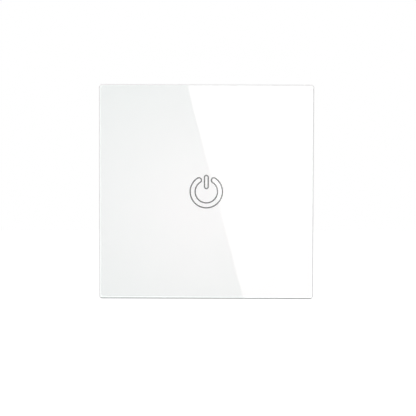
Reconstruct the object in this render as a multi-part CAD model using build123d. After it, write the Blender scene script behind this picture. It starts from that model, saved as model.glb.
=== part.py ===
"""Wall-mounted touch switch, one gang, with a square glass panel that pulls off its base.

Units are millimetres. X runs to the right and Z up, as seen from the room. Y runs into the wall.
The origin is midway between the two wall screws, on the wall's surface: Y = 0 is the wall.
Depths are therefore negative in front of the wall and positive inside the wall box.
"""
from build123d import *
import math
import os

# Wall box interface
FIXING_SPACING = 60.0       # hole to hole of the two wall screws
FIXING_SLOT_LENGTH = 8.0
FIXING_SLOT_WIDTH = 4.2

# Glass panel
PANEL_SIZE = 86.0
GLASS_THICKNESS = 4.0
GLASS_CORNER = 1.2
GLASS_CHAMFER = 0.5
GLASS_BACK_CHAMFER = 0.25
PRINT_THICKNESS = 0.15
PRINT_MARGIN = 0.45         # bare glass left round the printed back
TAPE_THICKNESS = 0.5
TAPE_INSET = 2.2            # from the frame's edge to the tape
TAPE_WIDTH = 7.0

# Frame behind the glass
FRAME_INSET = 0.8           # how far the frame stands back from the glass edge
FRAME_FLANGE = 1.2
FRAME_BORDER = 11.7         # from the frame's edge to its window
FRAME_WALL = 1.4
FRAME_CORNER = 1.8
FRAME_WALL_GAP = 0.4        # between the frame's skirt and the wall
FRAME_RIB_WIDTH = 1.2
FRAME_RIB_INSET = 11.8      # from the inside of the skirt's corner to each rib
PRY_NOTCH_WIDTH = 10.0
PRY_NOTCH_HEIGHT = 1.6

# Snap hooks
HOOK_PLACE = 20.0           # sideways from the centre
HOOK_WIDTH = 6.0
HOOK_THICKNESS = 1.2
HOOK_BARB = 0.6
HOOK_BARB_LENGTH = 1.4
HOOK_SETBACK = 5.0          # from the tray's edge to the hook's inner face
HOOK_CLEARANCE = 0.1
HOOK_SIDE_CLEARANCE = 0.5
HOOK_TIP_GAP = 0.4          # from a hook's tip to the steel plate

# Base tray
TRAY_SIDE_GAP = 0.8         # all round, inside the frame's skirt
TRAY_CORNER = 3.0
TRAY_DECK = 1.5
TRAY_RIM = 1.4
TRAY_EDGE = 0.7             # bevel of the tray's front edge
TRAY_FRAME_GAP = 0.25       # between the tray's deck and the frame's flange
WELL_WALL = 1.4
LEDGE = 0.8
LEDGE_REACH = 2.9           # how far the ledge stands into the well
RIB_THICKNESS = 1.0
RIB_PLACE = 12.0
ACCESS_LENGTH = 11.2        # hole in the tray over each wall screw
ACCESS_WIDTH = 8.4
ACCESS_WALL = 1.0
BOSS_RADIUS = 2.6
BOSS_RISE = 3.0             # of the tray's corner bosses above the steel plate
POST_INSET = 2.6            # from the window's edge to the middle of each board post
POST_RADIUS = 2.2

# Steel mounting plate
PLATE_THICKNESS = 1.0
PLATE_CLEARANCE = 0.2       # to the tray's rim
PLATE_CORNER = 2.0
WINDOW_CORNER = 11.0
BEAD_LENGTH = 14.0
BEAD_WIDTH = 2.4
BEAD_RISE = 0.5
BEAD_INSET = 18.5           # from the plate's corner to each bead

# Rear housing
HOUSING_WIDTH = 49.0
HOUSING_HEIGHT = 46.0
HOUSING_DEPTH = 26.0
HOUSING_CORNER = 9.0
HOUSING_WALL = 1.6
HOUSING_EDGE = 1.4          # bevel of the back edges
POCKET_SIDE = 1.4           # the terminals' recess beyond the block, to each side
POCKET_ABOVE = 1.2          # and above it
VENT_WIDTH = 1.4
VENT_LENGTH = 9.0
VENT_PITCH = 4.0
VENT_COUNT = 5
SHELF_RIB = 1.4
SHELF_REACH = 2.0
SHELF_PLACE = 9.0

# Screws that join housing, plate and tray
HOUSING_SCREW_RADIUS = 1.25
HOUSING_SCREW_HEAD = 2.2
HOUSING_SCREW_HEAD_HEIGHT = 1.6
HOUSING_SCREW_BITE = 2.2    # into the tray's boss, beyond the steel plate
COLUMN_INSET = 4.7          # from the housing's outer wall to the screw
COUNTERBORE_DEPTH = 2.0
SCREW_CLEARANCE = 0.15
THREAD_CLEARANCE = 0.05
RECESS_DEPTH = 0.6          # of a cross recess, as a share of the head's height
RECESS_WIDTH = 1.2          # of a cross recess, as a share of the head's radius

# Circuit boards
TOUCH_BOARD_THICKNESS = 1.2
BOARD_CLEARANCE = 0.3
POWER_BOARD_THICKNESS = 1.6
NOTCH_CLEARANCE = 0.4
NOTCH_CORNER = 2.9
NOTCH_REACH = 12.0
BOARD_SCREW_RADIUS = 1.0
BOARD_SCREW_HEAD = 1.9
BOARD_SCREW_HEAD_HEIGHT = 1.1
BOARD_SCREW_BITE = 4.0

# Connector between the boards
CONNECTOR_PINS = 7
CONNECTOR_PITCH = 2.54
CONNECTOR_WIDTH = 2.5
CONNECTOR_INSET = 5.9       # from the board's lower edge
SOCKET_HEIGHT = 5.9
PIN_BASE_HEIGHT = 2.5
PIN_WIDTH = 0.64
PIN_HOLE = 0.84
PIN_DEPTH = 4.6

# Touch electrode, light and radio
SPRING_RADIUS = 5.5
SPRING_WIRE = 0.5
SPRING_TURNS = 3
SPRING_FLATS = 8            # the wire's section is an octagon
SHIELD_RADIUS = 9.0
SHIELD_WALL = 1.3
SHIELD_GAP = 0.15
SHIELD_FOOT = 1.0
DIFFUSER_RADIUS = 4.5
DIFFUSER_WALL = 0.8
DIFFUSER_GAP = 0.6
LED_LENGTH = 2.0
LED_WIDTH = 1.25
LED_HEIGHT = 0.8
LED_PLACE = 1.9
RADIO_WIDTH = 15.0
RADIO_THICKNESS = 0.8
RADIO_GAP = 0.4             # to the light shield
RADIO_EDGE = 0.1            # to the board's upper edge
CAN_WIDTH = 11.0
CAN_LENGTH = 8.0
CAN_HEIGHT = 1.8
TOUCH_CHIP_LENGTH = 9.9
TOUCH_CHIP_WIDTH = 3.9
TOUCH_CHIP_HEIGHT = 1.4
TOUCH_CHIP_INSET = 6.6      # from the board's lower edge
TOUCH_CHIP_LEGS = 8         # on each side
TOUCH_CHIP_LEAD = 0.9
TOUCH_CHIP_LEG_HEIGHT = 0.3

# Terminals
TERMINAL_COUNT = 3
TERMINAL_PITCH = 8.0
CAGE_OPENING = 4.0
CAGE_SIDE = 0.9
CAGE_LENGTH = 5.0
CAGE_FLOOR = 1.0
CAGE_MOUTH = 3.2
CAGE_TOP = 1.4
CAGE_TRAVEL = 2.0
CAGE_CLEARANCE = 0.1
BAR_WIDTH = 3.4
BAR_THICKNESS = 0.8
TERMINAL_SCREW_RADIUS = 1.45
TERMINAL_HEAD_RADIUS = 2.25
TERMINAL_HEAD_HEIGHT = 1.6
HEAD_COVER = 0.55           # the block's rim above the screw's head
BLOCK_WALL = 1.2
BLOCK_LEDGE = 0.8
BLOCK_GAP = 0.2             # from the block to the housing's pocket floor and bottom wall
WIRE_WINDOW_WIDTH = 4.8
WIRE_WINDOW_HEIGHT = 4.4
WIRE_FUNNEL = 0.5
DRIVER_HOLE_RADIUS = 3.0

# Relay
RELAY_WIDTH = 15.4
RELAY_LENGTH = 19.0
RELAY_TOP_GAP = 0.9         # from the cover to the housing's back wall
RELAY_SIDE_GAP = 0.8        # from the cover to the housing's shelf ribs
RELAY_BOX_GAP = 0.7         # from the cover to the box capacitor
RELAY_BASE = 1.6
RELAY_FOOT = 0.3
RELAY_FOOT_WIDTH = 1.6
RELAY_FOOT_INSET = 1.8
RELAY_SHELL = 0.8
RELAY_INNER_GAP = 0.5       # from the yoke to the cover's lower wall
COIL_FLANGE = 10.4
COIL_RADIUS = 4.7
COIL_TUBE_RADIUS = 2.7
CORE_RADIUS = 2.0
COIL_CHEEK = 0.8
POLE_RADIUS = 3.2
POLE_HEIGHT = 0.6
YOKE_THICKNESS = 1.2
YOKE_WIDTH = 9.0
PIVOT_FROM_CORE = 6.6
ARMATURE_THICKNESS = 1.0
ARMATURE_SIDE = 0.4         # how much narrower than the yoke, on each side
ARMATURE_OPEN_ANGLE = 4.0
ARMATURE_AIR = 0.08         # left over the pole when the relay is pulled in
ARMATURE_SPACE = 3.6        # from the pole to the cover's outside, for armature and blade
BLADE_WIDTH = 3.6
BLADE_THICKNESS = 0.3
CONTACT_RADIUS = 1.2
CONTACT_HEIGHT = 0.5
CONTACT_ARM = 0.5
CONTACT_WALL_GAP = 0.8      # from the fixed contact's stem to the cover's upper wall
CONTACT_GAP = 1.4           # from the armature's end to the moving contact
PIN_DIAMETER = 0.8

# Power parts on the board
TRANSFORMER_WIDTH = 14.0
TRANSFORMER_LENGTH = 12.6
TRANSFORMER_HEIGHT = 12.0
TRANSFORMER_LIMB = 3.0
TRANSFORMER_YOKE = 2.6
TRANSFORMER_SIDE_GAP = 1.5  # to the housing's shelf ribs
TRANSFORMER_CAN_GAP = 1.3
CAN_CAPACITOR_RADIUS = 4.0
CAN_CAPACITOR_HEIGHT = 12.0
CAN_SIDE_GAP = 6.7          # to the housing's side wall
CAN_END_GAP = 2.4           # to the housing's upper wall
CAN_CRIMP = 0.4
BOX_CAPACITOR_WIDTH = 13.0
BOX_CAPACITOR_LENGTH = 5.0
BOX_CAPACITOR_HEIGHT = 11.0
BOX_CAN_GAP = 2.7
BOX_END_GAP = 0.8           # to the housing's upper wall
VARISTOR_X = -9.0
VARISTOR_RADIUS = 3.9
VARISTOR_THICKNESS = 3.4
FUSE_X = 2.0
FUSE_RADIUS = 1.9
FUSE_LENGTH = 8.5
FUSE_CAP = 1.7
FUSE_BAR_GAP = 2.1          # from the terminals' bars to the fuse
BRIDGE_WIDTH = 6.4
BRIDGE_LENGTH = 5.0
BRIDGE_HEIGHT = 2.5
BRIDGE_LEAD = 1.2
BRIDGE_LEG_HEIGHT = 0.5
BRIDGE_SIDE_GAP = 4.1       # to the housing's side wall
BRIDGE_TRANSFORMER_GAP = 1.6
PART_LIFT = 0.1             # solder gap under a part on the board
PART_BEVEL = 0.3            # on the edges of the moulded parts

# Depths worked out from the wall to the glass
PLATE_FRONT = -PLATE_THICKNESS
HOOK_TIP = PLATE_FRONT - HOOK_TIP_GAP
HOOK_CATCH = HOOK_TIP - HOOK_BARB_LENGTH
DECK_BACK = HOOK_CATCH - HOOK_CLEARANCE
DECK_FRONT = DECK_BACK - TRAY_DECK
FLANGE_BACK = DECK_FRONT - TRAY_FRAME_GAP
FLANGE_FRONT = FLANGE_BACK - FRAME_FLANGE
PRINT_BACK = FLANGE_FRONT - TAPE_THICKNESS
GLASS_BACK = PRINT_BACK - PRINT_THICKNESS
GLASS_FRONT = GLASS_BACK - GLASS_THICKNESS

# Depths worked out from the wall into the box
LEDGE_FRONT = PLATE_FRONT - LEDGE
TOUCH_FRONT = LEDGE_FRONT - TOUCH_BOARD_THICKNESS
SOCKET_BACK = LEDGE_FRONT + SOCKET_HEIGHT
POWER_FRONT = SOCKET_BACK + PIN_BASE_HEIGHT
POWER_BACK = POWER_FRONT + POWER_BOARD_THICKNESS
PART_SEAT = POWER_BACK + PART_LIFT
HOUSING_INNER = HOUSING_DEPTH - HOUSING_WALL

# Sizes across the face, worked out from the panel inwards
FRAME_SIZE = PANEL_SIZE - 2 * FRAME_INSET
FRAME_ROOM = FRAME_SIZE - 2 * FRAME_WALL
FRAME_WINDOW = FRAME_SIZE - 2 * FRAME_BORDER
TRAY_SIZE = FRAME_ROOM - 2 * TRAY_SIDE_GAP
TRAY_ROOM = TRAY_SIZE - 2 * TRAY_RIM
PLATE_SIZE = TRAY_ROOM - 2 * PLATE_CLEARANCE
HOOK_LINE = TRAY_SIZE / 2 - HOOK_SETBACK
BEAD_PLACE = PLATE_SIZE / math.sqrt(2) - BEAD_INSET

# Sizes across the face, worked out from the housing
COLUMN_X = HOUSING_WIDTH / 2 - COLUMN_INSET
COLUMN_Z = HOUSING_HEIGHT / 2 - COLUMN_INSET
CAVITY_WIDTH = HOUSING_WIDTH - 2 * HOUSING_WALL
CAVITY_HEIGHT = HOUSING_HEIGHT - 2 * HOUSING_WALL
BOARD_WIDTH = CAVITY_WIDTH - 2 * BOARD_CLEARANCE
BOARD_HEIGHT = CAVITY_HEIGHT - 2 * BOARD_CLEARANCE
WINDOW_WIDTH = CAVITY_WIDTH - 2 * LEDGE_REACH
WINDOW_HEIGHT = CAVITY_HEIGHT - 2 * LEDGE_REACH
POST_PLACE = WINDOW_WIDTH / 2 - POST_INSET
CONNECTOR_PLACE = -BOARD_HEIGHT / 2 + CONNECTOR_INSET
TOUCH_CHIP_PLACE = -BOARD_HEIGHT / 2 + TOUCH_CHIP_INSET
RADIO_START = SHIELD_RADIUS + RADIO_GAP
RADIO_LENGTH = BOARD_HEIGHT / 2 - RADIO_EDGE - RADIO_START
SCREW_PLACES = [(COLUMN_X, COLUMN_Z), (-COLUMN_X, COLUMN_Z), (-COLUMN_X, -COLUMN_Z), (COLUMN_X, -COLUMN_Z)]
FIXING_PLACES = [(-FIXING_SPACING / 2, 0, False), (FIXING_SPACING / 2, 0, False),
                 (0, -FIXING_SPACING / 2, True), (0, FIXING_SPACING / 2, True)]

# Terminal places
BLOCK_BOTTOM = -CAVITY_HEIGHT / 2 + BLOCK_GAP
CAGE_Z = BLOCK_BOTTOM + BLOCK_WALL + CAGE_CLEARANCE + CAGE_LENGTH / 2
CAGE_WIDTH = CAGE_OPENING + 2 * CAGE_SIDE
CAGE_DEPTH = CAGE_FLOOR + CAGE_MOUTH + CAGE_TOP
CAGE_START = POWER_BACK + BLOCK_WALL + CAGE_CLEARANCE
BAR_BACK = CAGE_START + CAGE_FLOOR + CAGE_MOUTH - CAGE_CLEARANCE
CHAMBER_BACK = CAGE_START + CAGE_DEPTH + CAGE_TRAVEL + CAGE_CLEARANCE
HEAD_SEAT = CHAMBER_BACK + BLOCK_LEDGE
BLOCK_TOP = HEAD_SEAT + THREAD_CLEARANCE + TERMINAL_HEAD_HEIGHT + HEAD_COVER
WIRE_DEPTH = (CAGE_START + CAGE_FLOOR + BAR_BACK - BAR_THICKNESS) / 2
CHAMBER_WIDTH = CAGE_WIDTH + 2 * CAGE_CLEARANCE
BLOCK_WIDTH = (TERMINAL_COUNT - 1) * TERMINAL_PITCH + CHAMBER_WIDTH + 2 * BLOCK_WALL
BLOCK_HEIGHT = CAGE_LENGTH + 2 * CAGE_CLEARANCE + 2 * BLOCK_WALL
BLOCK_INNER = BLOCK_BOTTOM + BLOCK_HEIGHT
BAR_END = BLOCK_INNER + BLOCK_GAP + BAR_THICKNESS
POCKET_FLOOR = BLOCK_TOP + BLOCK_GAP + HOUSING_WALL
POCKET_WIDTH = BLOCK_WIDTH + 2 * POCKET_SIDE
POCKET_TOP = BLOCK_INNER + POCKET_ABOVE
TERMINAL_PLACES = [(n - (TERMINAL_COUNT - 1) / 2) * TERMINAL_PITCH for n in range(TERMINAL_COUNT)]

# Places of the power parts, from the housing's walls and from each other
CAN_CAPACITOR_X = CAVITY_WIDTH / 2 - CAN_SIDE_GAP - CAN_CAPACITOR_RADIUS
CAN_CAPACITOR_Z = CAVITY_HEIGHT / 2 - CAN_END_GAP - CAN_CAPACITOR_RADIUS
BOX_CAPACITOR_X = CAN_CAPACITOR_X - CAN_CAPACITOR_RADIUS - BOX_CAN_GAP - BOX_CAPACITOR_WIDTH / 2
BOX_CAPACITOR_Z = CAVITY_HEIGHT / 2 - BOX_END_GAP - BOX_CAPACITOR_LENGTH / 2
RELAY_X = -(CAVITY_WIDTH / 2 - SHELF_REACH - RELAY_SIDE_GAP - RELAY_WIDTH / 2)
RELAY_Z = BOX_CAPACITOR_Z - BOX_CAPACITOR_LENGTH / 2 - RELAY_BOX_GAP - RELAY_LENGTH / 2
TRANSFORMER_X = CAVITY_WIDTH / 2 - SHELF_REACH - TRANSFORMER_SIDE_GAP - TRANSFORMER_WIDTH / 2
TRANSFORMER_Z = CAN_CAPACITOR_Z - CAN_CAPACITOR_RADIUS - TRANSFORMER_CAN_GAP - TRANSFORMER_LENGTH / 2
BRIDGE_X = CAVITY_WIDTH / 2 - BRIDGE_SIDE_GAP - BRIDGE_WIDTH / 2
BRIDGE_Z = TRANSFORMER_Z - TRANSFORMER_LENGTH / 2 - BRIDGE_TRANSFORMER_GAP - BRIDGE_LEAD - BRIDGE_LENGTH / 2
VARISTOR_Z = (RELAY_Z - RELAY_LENGTH / 2 + BAR_END) / 2
FUSE_Z = BAR_END + FUSE_BAR_GAP + FUSE_RADIUS

# Places inside the relay
RELAY_FLOOR = POWER_BACK + RELAY_FOOT + RELAY_BASE
RELAY_TOP = HOUSING_INNER - RELAY_TOP_GAP
COIL_START = RELAY_FLOOR + YOKE_THICKNESS
POLE_FACE = RELAY_TOP - ARMATURE_SPACE
COIL_END = POLE_FACE - POLE_HEIGHT
PIVOT_DEPTH = POLE_FACE + ARMATURE_AIR
PIVOT_Z = RELAY_Z - RELAY_LENGTH / 2 + RELAY_SHELL + RELAY_INNER_GAP + YOKE_THICKNESS / 2
CORE_Z = PIVOT_Z + PIVOT_FROM_CORE
STEM_Z = RELAY_Z + RELAY_LENGTH / 2 - RELAY_SHELL - CONTACT_WALL_GAP
CONTACT_Z = STEM_Z - CONTACT_ARM - CONTACT_RADIUS

def slab(outline, near, far):
    """A front-view outline given thickness, from depth near to depth far."""
    return extrude(Plane(origin=(0, far, 0), x_dir=(1, 0, 0), z_dir=(0, -1, 0)) * outline, far - near)


def block(x, z, width, height, near, far):
    return slab(Pos(x, z) * Rectangle(width, height), near, far)


def peg(x, z, radius, near, far):
    return slab(Pos(x, z) * Circle(radius), near, far)


def slot_outline(length, width, upright):
    """A round-ended slot, lying along X, or along Z if upright."""
    return Rot(0, 0, 90 if upright else 0) * SlotOverall(length, width)


def edges_at(shape, depth):
    """The edges that lie wholly at one depth."""
    return shape.edges().filter_by_position(Axis.Y, depth - 1e-4, depth + 1e-4)


def box_between(x0, x1, y0, y1, z0, z1):
    return Pos((x0 + x1) / 2, (y0 + y1) / 2, (z0 + z1) / 2) * Box(x1 - x0, y1 - y0, z1 - z0)


def cross_recess(x, z, size, depth_near, depth_far):
    """The cross cut in a screw head, to be taken away from it."""
    bar = size / 4
    return block(x, z, size, bar, depth_near, depth_far) + block(x, z, bar, size, depth_near, depth_far)


# The removable panel

def glass_panel():
    glass = slab(RectangleRounded(PANEL_SIZE, PANEL_SIZE, GLASS_CORNER), GLASS_FRONT, GLASS_BACK)
    glass = chamfer(edges_at(glass, GLASS_FRONT), GLASS_CHAMFER)
    return chamfer(edges_at(glass, GLASS_BACK), GLASS_BACK_CHAMFER)


def back_print():
    side = PANEL_SIZE - 2 * PRINT_MARGIN
    return slab(RectangleRounded(side, side, GLASS_CORNER - PRINT_MARGIN / 2), GLASS_BACK, PRINT_BACK)


def panel_tape():
    side = FRAME_SIZE - 2 * TAPE_INSET
    inner = side - 2 * TAPE_WIDTH
    return slab(RectangleRounded(side, side, FRAME_CORNER) - RectangleRounded(inner, inner, FRAME_CORNER),
                PRINT_BACK, FLANGE_FRONT)


def panel_frame():
    outline = RectangleRounded(FRAME_SIZE, FRAME_SIZE, FRAME_CORNER)
    frame = slab(outline, FLANGE_FRONT, -FRAME_WALL_GAP)
    frame -= slab(Rectangle(FRAME_ROOM, FRAME_ROOM), FLANGE_BACK, -FRAME_WALL_GAP)
    frame -= slab(RectangleRounded(FRAME_WINDOW, FRAME_WINDOW, FRAME_CORNER), FLANGE_FRONT, FLANGE_BACK)
    reach = TRAY_SIDE_GAP - TRAY_FRAME_GAP
    rib_place = FRAME_ROOM / 2 - FRAME_RIB_INSET
    for turn in range(4):
        for place in (-rib_place, rib_place):
            rib = block(place, (FRAME_ROOM - reach) / 2, FRAME_RIB_WIDTH, reach, FLANGE_BACK, -FRAME_WALL_GAP)
            frame += Rot(0, 90 * turn, 0) * rib
    frame -= block(0, -FRAME_SIZE / 2, PRY_NOTCH_WIDTH, 3 * FRAME_WALL,
                   -FRAME_WALL_GAP - PRY_NOTCH_HEIGHT, -FRAME_WALL_GAP)
    return frame


def panel_snap_hooks():
    """Four fingers on the back of the frame, with barbs that point outwards behind the tray's deck."""
    outer = HOOK_LINE + HOOK_THICKNESS
    outline = Polyline((HOOK_LINE, FLANGE_BACK), (outer, FLANGE_BACK), (outer, HOOK_CATCH),
                       (outer + HOOK_BARB, HOOK_CATCH),
                       (outer + HOOK_BARB, HOOK_CATCH + HOOK_BARB_LENGTH / 3),
                       (outer, HOOK_TIP), (HOOK_LINE, HOOK_TIP), close=True)
    side_view = Plane(origin=(-HOOK_WIDTH / 2, 0, 0), x_dir=(0, 0, 1), z_dir=(1, 0, 0)) * mirror(
        make_face(outline), Plane.XZ)
    finger = extrude(side_view, HOOK_WIDTH)
    places = [(x, turn) for turn in (0, 180) for x in (-HOOK_PLACE, HOOK_PLACE)]
    return Compound(children=[Rot(0, turn, 0) * Pos(x, 0, 0) * finger for x, turn in places])


# The base that stays on the wall

def bead_outline(length, width):
    """A stiffening bead pressed into the plate, with bevelled ends."""
    bar = Rectangle(length, width)
    return Pos(0, BEAD_PLACE) * chamfer(bar.vertices(), width / 3)


def mounting_plate():
    plate = slab(RectangleRounded(PLATE_SIZE, PLATE_SIZE, PLATE_CORNER), PLATE_FRONT, 0)
    plate -= slab(RectangleRounded(WINDOW_WIDTH, WINDOW_HEIGHT, WINDOW_CORNER), PLATE_FRONT, 0)
    for x, z in SCREW_PLACES:
        plate -= peg(x, z, HOUSING_SCREW_RADIUS + SCREW_CLEARANCE, PLATE_FRONT, 0)
    for x, z, upright in FIXING_PLACES:
        outline = Pos(x, z) * slot_outline(FIXING_SLOT_LENGTH, FIXING_SLOT_WIDTH, upright)
        plate -= slab(outline, PLATE_FRONT, 0)
    for turn in range(4):
        spin = Rot(0, 45 + 90 * turn, 0)
        plate += spin * slab(bead_outline(BEAD_LENGTH, BEAD_WIDTH), PLATE_FRONT - BEAD_RISE, PLATE_FRONT)
        plate -= spin * slab(bead_outline(BEAD_LENGTH - BEAD_RISE, BEAD_WIDTH - BEAD_RISE), -BEAD_RISE, 0)
    return plate


def access_outline(x, z, margin, upright):
    """The hole in the tray over a wall screw, or with a margin the wall round that hole."""
    length, width = ACCESS_LENGTH + 2 * margin, ACCESS_WIDTH + 2 * margin
    return Pos(x, z) * (Rectangle(width, length) if upright else Rectangle(length, width))


def base_tray():
    tray = slab(RectangleRounded(TRAY_SIZE, TRAY_SIZE, TRAY_CORNER), DECK_FRONT, 0)
    tray = chamfer(edges_at(tray, DECK_FRONT), TRAY_EDGE)
    room = RectangleRounded(TRAY_ROOM, TRAY_ROOM, TRAY_CORNER - TRAY_RIM)
    tray -= slab(room, DECK_BACK, 0)
    well = RectangleRounded(CAVITY_WIDTH, CAVITY_HEIGHT, TRAY_CORNER)
    well_outside = RectangleRounded(CAVITY_WIDTH + 2 * WELL_WALL, CAVITY_HEIGHT + 2 * WELL_WALL,
                                    TRAY_CORNER + WELL_WALL)
    tray += slab(well_outside, DECK_BACK, PLATE_FRONT)
    for turn in range(4):
        start = (CAVITY_WIDTH if turn % 2 else CAVITY_HEIGHT) / 2 + WELL_WALL
        end = TRAY_ROOM / 2
        for place in (-RIB_PLACE, RIB_PLACE):
            rib = block(place, (start + end) / 2, RIB_THICKNESS, end - start, DECK_BACK, PLATE_FRONT)
            tray += Rot(0, 90 * turn, 0) * rib
    for x, z, upright in FIXING_PLACES:
        wall = access_outline(x, z, ACCESS_WALL, upright) & room
        tray += slab(wall, DECK_BACK, PLATE_FRONT)
    tray -= slab(well, DECK_FRONT, LEDGE_FRONT)
    tray -= slab(RectangleRounded(WINDOW_WIDTH, WINDOW_HEIGHT, WINDOW_CORNER), LEDGE_FRONT, PLATE_FRONT)
    for x, z, upright in FIXING_PLACES:
        tray -= slab(access_outline(x, z, 0, upright), DECK_FRONT, PLATE_FRONT)
    for x, z in SCREW_PLACES:
        tray += peg(x, z, BOSS_RADIUS, PLATE_FRONT - BOSS_RISE, PLATE_FRONT)
        tray -= peg(x, z, HOUSING_SCREW_RADIUS + THREAD_CLEARANCE,
                    PLATE_FRONT - HOUSING_SCREW_BITE - THREAD_CLEARANCE, PLATE_FRONT)
    for side in (-1, 1):
        tray += box_between(*sorted((side * POST_PLACE, side * (WINDOW_WIDTH / 2 + LEDGE))), LEDGE_FRONT,
                            PLATE_FRONT, -POST_RADIUS, POST_RADIUS)
        tray += peg(side * POST_PLACE, 0, POST_RADIUS, LEDGE_FRONT, POWER_FRONT)
        tray -= peg(side * POST_PLACE, 0, BOARD_SCREW_RADIUS + THREAD_CLEARANCE, LEDGE_FRONT,
                    LEDGE_FRONT + BOARD_SCREW_BITE + THREAD_CLEARANCE)
    slot_low = HOOK_LINE - 3 * HOOK_CLEARANCE
    slot_high = HOOK_LINE + HOOK_THICKNESS + HOOK_CLEARANCE
    for turn in (0, 180):
        for x in (-HOOK_PLACE, HOOK_PLACE):
            window = block(x, (slot_low + slot_high) / 2, HOOK_WIDTH + 2 * HOOK_SIDE_CLEARANCE,
                           slot_high - slot_low, DECK_FRONT, DECK_BACK)
            tray -= Rot(0, turn, 0) * window
    return tray


def rear_housing():
    outline = RectangleRounded(HOUSING_WIDTH, HOUSING_HEIGHT, HOUSING_CORNER)
    outside = slab(outline, 0, HOUSING_DEPTH)
    outside = chamfer(edges_at(outside, HOUSING_DEPTH), HOUSING_EDGE)
    half = POCKET_WIDTH / 2
    below = -HOUSING_HEIGHT
    pocket = box_between(-half, half, POCKET_FLOOR, 2 * HOUSING_DEPTH, below, POCKET_TOP)
    pocket_walls = box_between(-half - HOUSING_WALL, half + HOUSING_WALL, POCKET_FLOOR - HOUSING_WALL,
                               2 * HOUSING_DEPTH, below, POCKET_TOP + HOUSING_WALL)
    room = RectangleRounded(CAVITY_WIDTH, CAVITY_HEIGHT, HOUSING_CORNER - HOUSING_WALL)
    cavity = slab(room, 0, HOUSING_INNER)
    columns = [peg(x, z, BOSS_RADIUS, 0, HOUSING_INNER) for x, z in SCREW_PLACES]
    shelves = []
    for side in (-1, 1):
        for z in (-SHELF_PLACE, SHELF_PLACE):
            shelves.append(block(side * (CAVITY_WIDTH - SHELF_REACH) / 2, z, SHELF_REACH, SHELF_RIB,
                                 POWER_BACK, HOUSING_INNER))
    solid_inside = Part() + columns + shelves + [pocket_walls]
    housing = outside - (cavity - solid_inside) - pocket
    for x, z in SCREW_PLACES:
        housing -= peg(x, z, HOUSING_SCREW_RADIUS + SCREW_CLEARANCE, 0, HOUSING_DEPTH)
        housing -= peg(x, z, HOUSING_SCREW_HEAD + SCREW_CLEARANCE,
                       HOUSING_DEPTH - COUNTERBORE_DEPTH, HOUSING_DEPTH)
    for x in TERMINAL_PLACES:
        housing -= peg(x, CAGE_Z, DRIVER_HOLE_RADIUS, POCKET_FLOOR - HOUSING_WALL, POCKET_FLOOR)
        housing -= wire_window(x, -HOUSING_HEIGHT / 2, HOUSING_WALL)
    for n in range(VENT_COUNT):
        x = (n - (VENT_COUNT - 1) / 2) * VENT_PITCH
        middle = (POWER_BACK + HOUSING_INNER) / 2
        housing -= box_between(x - VENT_WIDTH / 2, x + VENT_WIDTH / 2, middle - VENT_LENGTH / 2,
                               middle + VENT_LENGTH / 2, HOUSING_HEIGHT / 4, HOUSING_HEIGHT)
        housing -= block(x, HOUSING_HEIGHT / 8, VENT_WIDTH, VENT_LENGTH, HOUSING_INNER, HOUSING_DEPTH)
    return housing


def wire_window(x, outer_z, wall):
    """A square hole for a wire through a wall that faces down, flared on its outside."""
    wide, deep = WIRE_WINDOW_WIDTH / 2, WIRE_WINDOW_HEIGHT / 2
    straight = box_between(x - wide, x + wide, WIRE_DEPTH - deep, WIRE_DEPTH + deep, outer_z, outer_z + wall)
    mouth = Rectangle(WIRE_WINDOW_WIDTH + 2 * WIRE_FUNNEL, WIRE_WINDOW_HEIGHT + 2 * WIRE_FUNNEL)
    neck = Rectangle(WIRE_WINDOW_WIDTH, WIRE_WINDOW_HEIGHT)
    flare = loft([Plane((x, WIRE_DEPTH, outer_z)) * mouth,
                  Plane((x, WIRE_DEPTH, outer_z + WIRE_FUNNEL)) * neck])
    return straight + flare


def housing_screws():
    """Four long screws from the back of the housing, through the steel plate, into the tray."""
    seat = HOUSING_DEPTH - COUNTERBORE_DEPTH
    top = seat + HOUSING_SCREW_HEAD_HEIGHT
    screws = []
    for x, z in SCREW_PLACES:
        head = peg(x, z, HOUSING_SCREW_HEAD, seat, top)
        shank = peg(x, z, HOUSING_SCREW_RADIUS, PLATE_FRONT - HOUSING_SCREW_BITE, seat)
        recess = cross_recess(x, z, HOUSING_SCREW_HEAD * RECESS_WIDTH,
                              top - HOUSING_SCREW_HEAD_HEIGHT * RECESS_DEPTH, top)
        screws.append(head + shank - recess)
    return Compound(children=screws)


# The circuit boards and what joins them

def notched_board(near, far):
    """The outline both boards share: the housing's cavity less a notch round each corner screw."""
    board = RectangleRounded(BOARD_WIDTH, BOARD_HEIGHT, TRAY_CORNER - BOARD_CLEARANCE)
    inset = BOSS_RADIUS + NOTCH_CLEARANCE
    for x, z in SCREW_PLACES:
        middle_x = math.copysign(abs(x) - inset + NOTCH_REACH / 2, x)
        middle_z = math.copysign(abs(z) - inset + NOTCH_REACH / 2, z)
        board -= Pos(middle_x, middle_z) * RectangleRounded(NOTCH_REACH, NOTCH_REACH, NOTCH_CORNER)
    return slab(board, near, far)


def touch_board():
    board = notched_board(TOUCH_FRONT, LEDGE_FRONT)
    for side in (-1, 1):
        board -= peg(side * POST_PLACE, 0, BOARD_SCREW_RADIUS + SCREW_CLEARANCE, TOUCH_FRONT, LEDGE_FRONT)
    return board


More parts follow.
